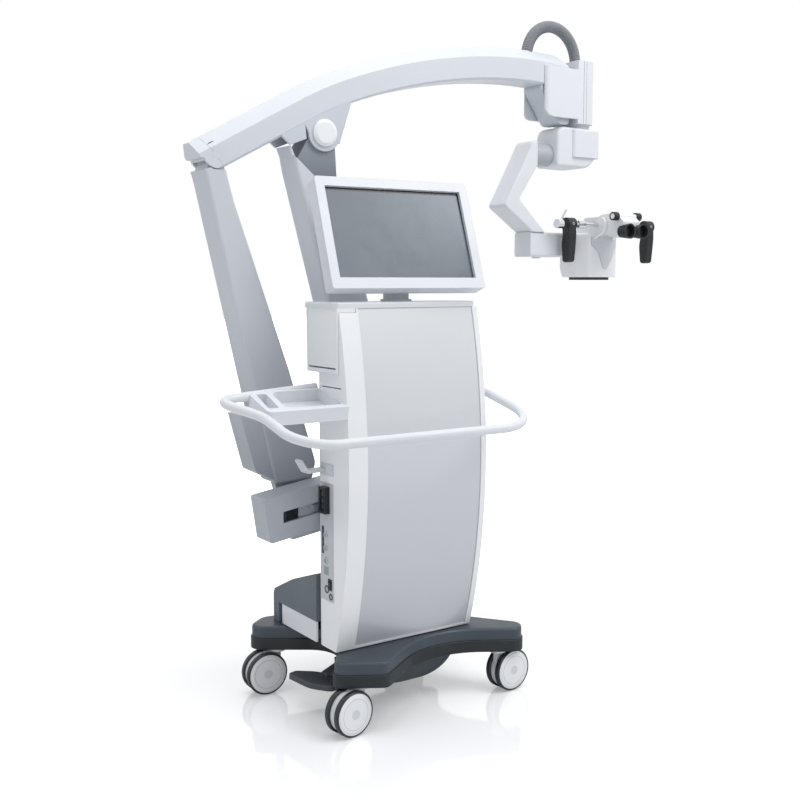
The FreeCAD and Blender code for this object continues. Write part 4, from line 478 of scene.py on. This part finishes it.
def skin(name, bm, rings, smooth):
    """Closed mesh through rings of vertices, with a cap at either end."""
    sides = len(rings[0])
    for a, b in zip(rings, rings[1:]):
        for k in range(sides):
            bm.faces.new((a[k], a[(k + 1) % sides], b[(k + 1) % sides], b[k]))
    bm.faces.new(rings[0][::-1])
    bm.faces.new(rings[-1])
    bmesh.ops.recalc_face_normals(bm, faces=bm.faces)
    return finish_mesh(name, bm, smooth)


def ring_tube(name, path, radius_at, sides=40):
    """Tube along a path in the arm's plane, with a radius that changes along it."""
    bm = bmesh.new()
    rings = []
    side = Vector((0, 1, 0))
    for i, point in enumerate(path):
        ahead = path[min(i + 1, len(path) - 1)] - path[max(i - 1, 0)]
        ahead.normalize()
        up = ahead.cross(side).normalized()
        rings.append(ring(bm, point, side, up, radius_at(i), sides))
    return skin(name, bm, rings, smooth=True)


def lathe(name, profile, centre, axis, sides=32):
    """Turned piece: profile is (distance along the axis, radius) from centre, closed at its ends."""
    axis = Vector(axis).normalized()
    u = axis.orthogonal().normalized()
    v = axis.cross(u)
    bm = bmesh.new()
    rings = [ring(bm, Vector(centre) + axis * along, u, v, radius, sides)
             for along, radius in profile]
    return skin(name, bm, rings, smooth=False)


def wear_it(piece, material, body):
    piece.data.materials.append(material)
    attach(piece, body)


def hose():
    """Corrugated hose in one arch from the boom's crown to the bracket's top."""
    low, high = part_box("hose")
    radius = (HOSE_END_X - HOSE_START_X) / 2
    foot = high.z - HOSE_RADIUS - radius
    arch = math.pi * radius
    drop = foot - (low.z + HOSE_SEAT)
    count = int((arch + drop) / RIB_PITCH * RIB_STEPS)
    path = []
    for i in range(count + 1):
        s = (arch + drop) * i / count
        if s < arch:
            angle = math.pi - s / radius
            path.append(Vector((HOSE_START_X + radius + radius * math.cos(angle), ARM_Y,
                                foot + radius * math.sin(angle))))
        else:
            path.append(Vector((HOSE_END_X, ARM_Y, foot - (s - arch))))

    def radius_at(i):
        groove = 0.5 - 0.5 * math.cos(2 * math.pi * i / RIB_STEPS)
        return HOSE_RADIUS - HOSE_INSET - RIB_DEPTH * groove

    piece = ring_tube("hose_ribs", path, radius_at)
    piece.data.materials.append(rubber("hose_rubber", srgb(122, 125, 130), rough=0.6, grain=0.3))
    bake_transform(piece)
    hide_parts("hose")


def screw(name, centre, axis, radius, body, material):
    """Round screw head with a sunk socket."""
    profile = [(0.0, radius), (radius * 0.45, radius), (radius * 0.62, radius * 0.86),
               (radius * 0.62, radius * 0.5), (radius * 0.2, radius * 0.46)]
    wear_it(lathe(name, profile, centre, axis), material, body)


hose()
for side, x in SCREW_X.items():
    grip_low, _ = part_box(side + "_grip")
    screw("grip_screw_" + side, (x, grip_low.y + SCREW_SINK, SCREW_Z), (0, -1, 0),
          SCREW_RADIUS, "grip_" + side, MATS["steel"])
block_low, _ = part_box("connector_panel")
for i, z in enumerate(SOCKET_HEIGHTS):
    plug = lathe("block_socket_%d" % i, SOCKET_PROFILE,
                 (block_low.x + SOCKET_SINK, SOCKET_Y, z), (-1, 0, 0))
    wear_it(plug, MATS["steel"], "base")


# Camera, light, floor

def look():
    cam_data = bpy.data.cameras.new("photo_camera")
    cam_data.sensor_width = SENSOR
    cam_data.lens = LENS
    camera = bpy.data.objects.new("photo_camera", cam_data)
    SCENE.collection.objects.link(camera)
    camera.location = CAMERA_PLACE
    camera.rotation_euler = (math.radians(90 - CAMERA_DOWN), 0, math.radians(CAMERA_TURN))
    SCENE.camera = camera


def area(name, place, aim, size, power):
    data = bpy.data.lights.new(name, "AREA")
    data.shape = "RECTANGLE"
    data.size, data.size_y = size
    data.energy = power
    lamp = bpy.data.objects.new(name, data)
    SCENE.collection.objects.link(lamp)
    lamp.location = place
    lamp.rotation_euler = (Vector(aim) - Vector(place)).to_track_quat("-Z", "Y").to_euler()


def studio():
    """White for what the camera and reflections see, a dimmer sky for the light, and lamps."""
    world = bpy.data.worlds.new("studio")
    SCENE.world = world
    world.use_nodes = True
    tree = world.node_tree
    tree.nodes.clear()
    out = tree.nodes.new("ShaderNodeOutputWorld")
    seen = tree.nodes.new("ShaderNodeBackground")
    seen.inputs["Color"].default_value = (1, 1, 1, 1)
    seen.inputs["Strength"].default_value = 1.0
    fill = tree.nodes.new("ShaderNodeBackground")
    fill.inputs["Color"].default_value = (0.93, 0.96, 1.0, 1)
    fill.inputs["Strength"].default_value = SKY_FILL
    path = tree.nodes.new("ShaderNodeLightPath")
    either = tree.nodes.new("ShaderNodeMath")
    either.operation = "MAXIMUM"
    tree.links.new(path.outputs["Is Camera Ray"], either.inputs[0])
    tree.links.new(path.outputs["Is Glossy Ray"], either.inputs[1])
    also = tree.nodes.new("ShaderNodeMath")
    also.operation = "MAXIMUM"
    tree.links.new(either.outputs[0], also.inputs[0])
    tree.links.new(path.outputs["Is Transmission Ray"], also.inputs[1])
    mix = tree.nodes.new("ShaderNodeMixShader")
    tree.links.new(also.outputs[0], mix.inputs[0])
    tree.links.new(fill.outputs[0], mix.inputs[1])
    tree.links.new(seen.outputs[0], mix.inputs[2])
    tree.links.new(mix.outputs[0], out.inputs["Surface"])

    for lamp in LAMPS:
        area(*lamp)


def floor():
    """Pale glossy floor that goes to plain white for the camera away from the stand."""
    mesh = bpy.data.meshes.new("floor")
    corners = [(-1, -1), (1, -1), (1, 1), (-1, 1)]
    mesh.from_pydata([(x * FLOOR_SIZE, y * FLOOR_SIZE, 0) for x, y in corners], [],
                     [(0, 1, 2, 3)])
    plane = bpy.data.objects.new("floor", mesh)
    SCENE.collection.objects.link(plane)
    m = Mat("floor_surface")
    cloud = m.span(m.noise(0.8), 0.3, 0.7, 0.0, 1.0)
    m.put(m.bsdf.inputs["Base Color"],
          m.mix(cloud, (0.86, 0.86, 0.87, 1), (0.88, 0.88, 0.89, 1)))
    m.put(m.bsdf.inputs["Roughness"], m.span(m.noise(3.0, 4.0), 0.3, 0.7, 0.05, 0.09))
    m.bsdf.inputs["Specular IOR Level"].default_value = 0.9
    glow = m.node("ShaderNodeEmission")
    glow.inputs["Color"].default_value = (1, 1, 1, 1)
    flat = m.node("ShaderNodeVectorMath", operation="LENGTH")
    m.links.new(m.place, flat.inputs[0])
    m.put(glow.inputs["Strength"], m.span(flat.outputs["Value"], 0.5, 2.6, 0.24, 1.0))
    path = m.node("ShaderNodeLightPath")
    lit = m.node("ShaderNodeMixShader")
    both = m.node("ShaderNodeAddShader")
    m.links.new(m.bsdf.outputs[0], both.inputs[0])
    m.links.new(glow.outputs[0], both.inputs[1])
    m.links.new(path.outputs["Is Camera Ray"], lit.inputs[0])
    m.links.new(m.bsdf.outputs[0], lit.inputs[1])
    m.links.new(both.outputs[0], lit.inputs[2])
    out = m.nodes["Material Output"]
    m.links.new(lit.outputs[0], out.inputs["Surface"])
    mesh.materials.append(m.material)


look()
studio()
floor()
SCENE.view_settings.view_transform = "Standard"
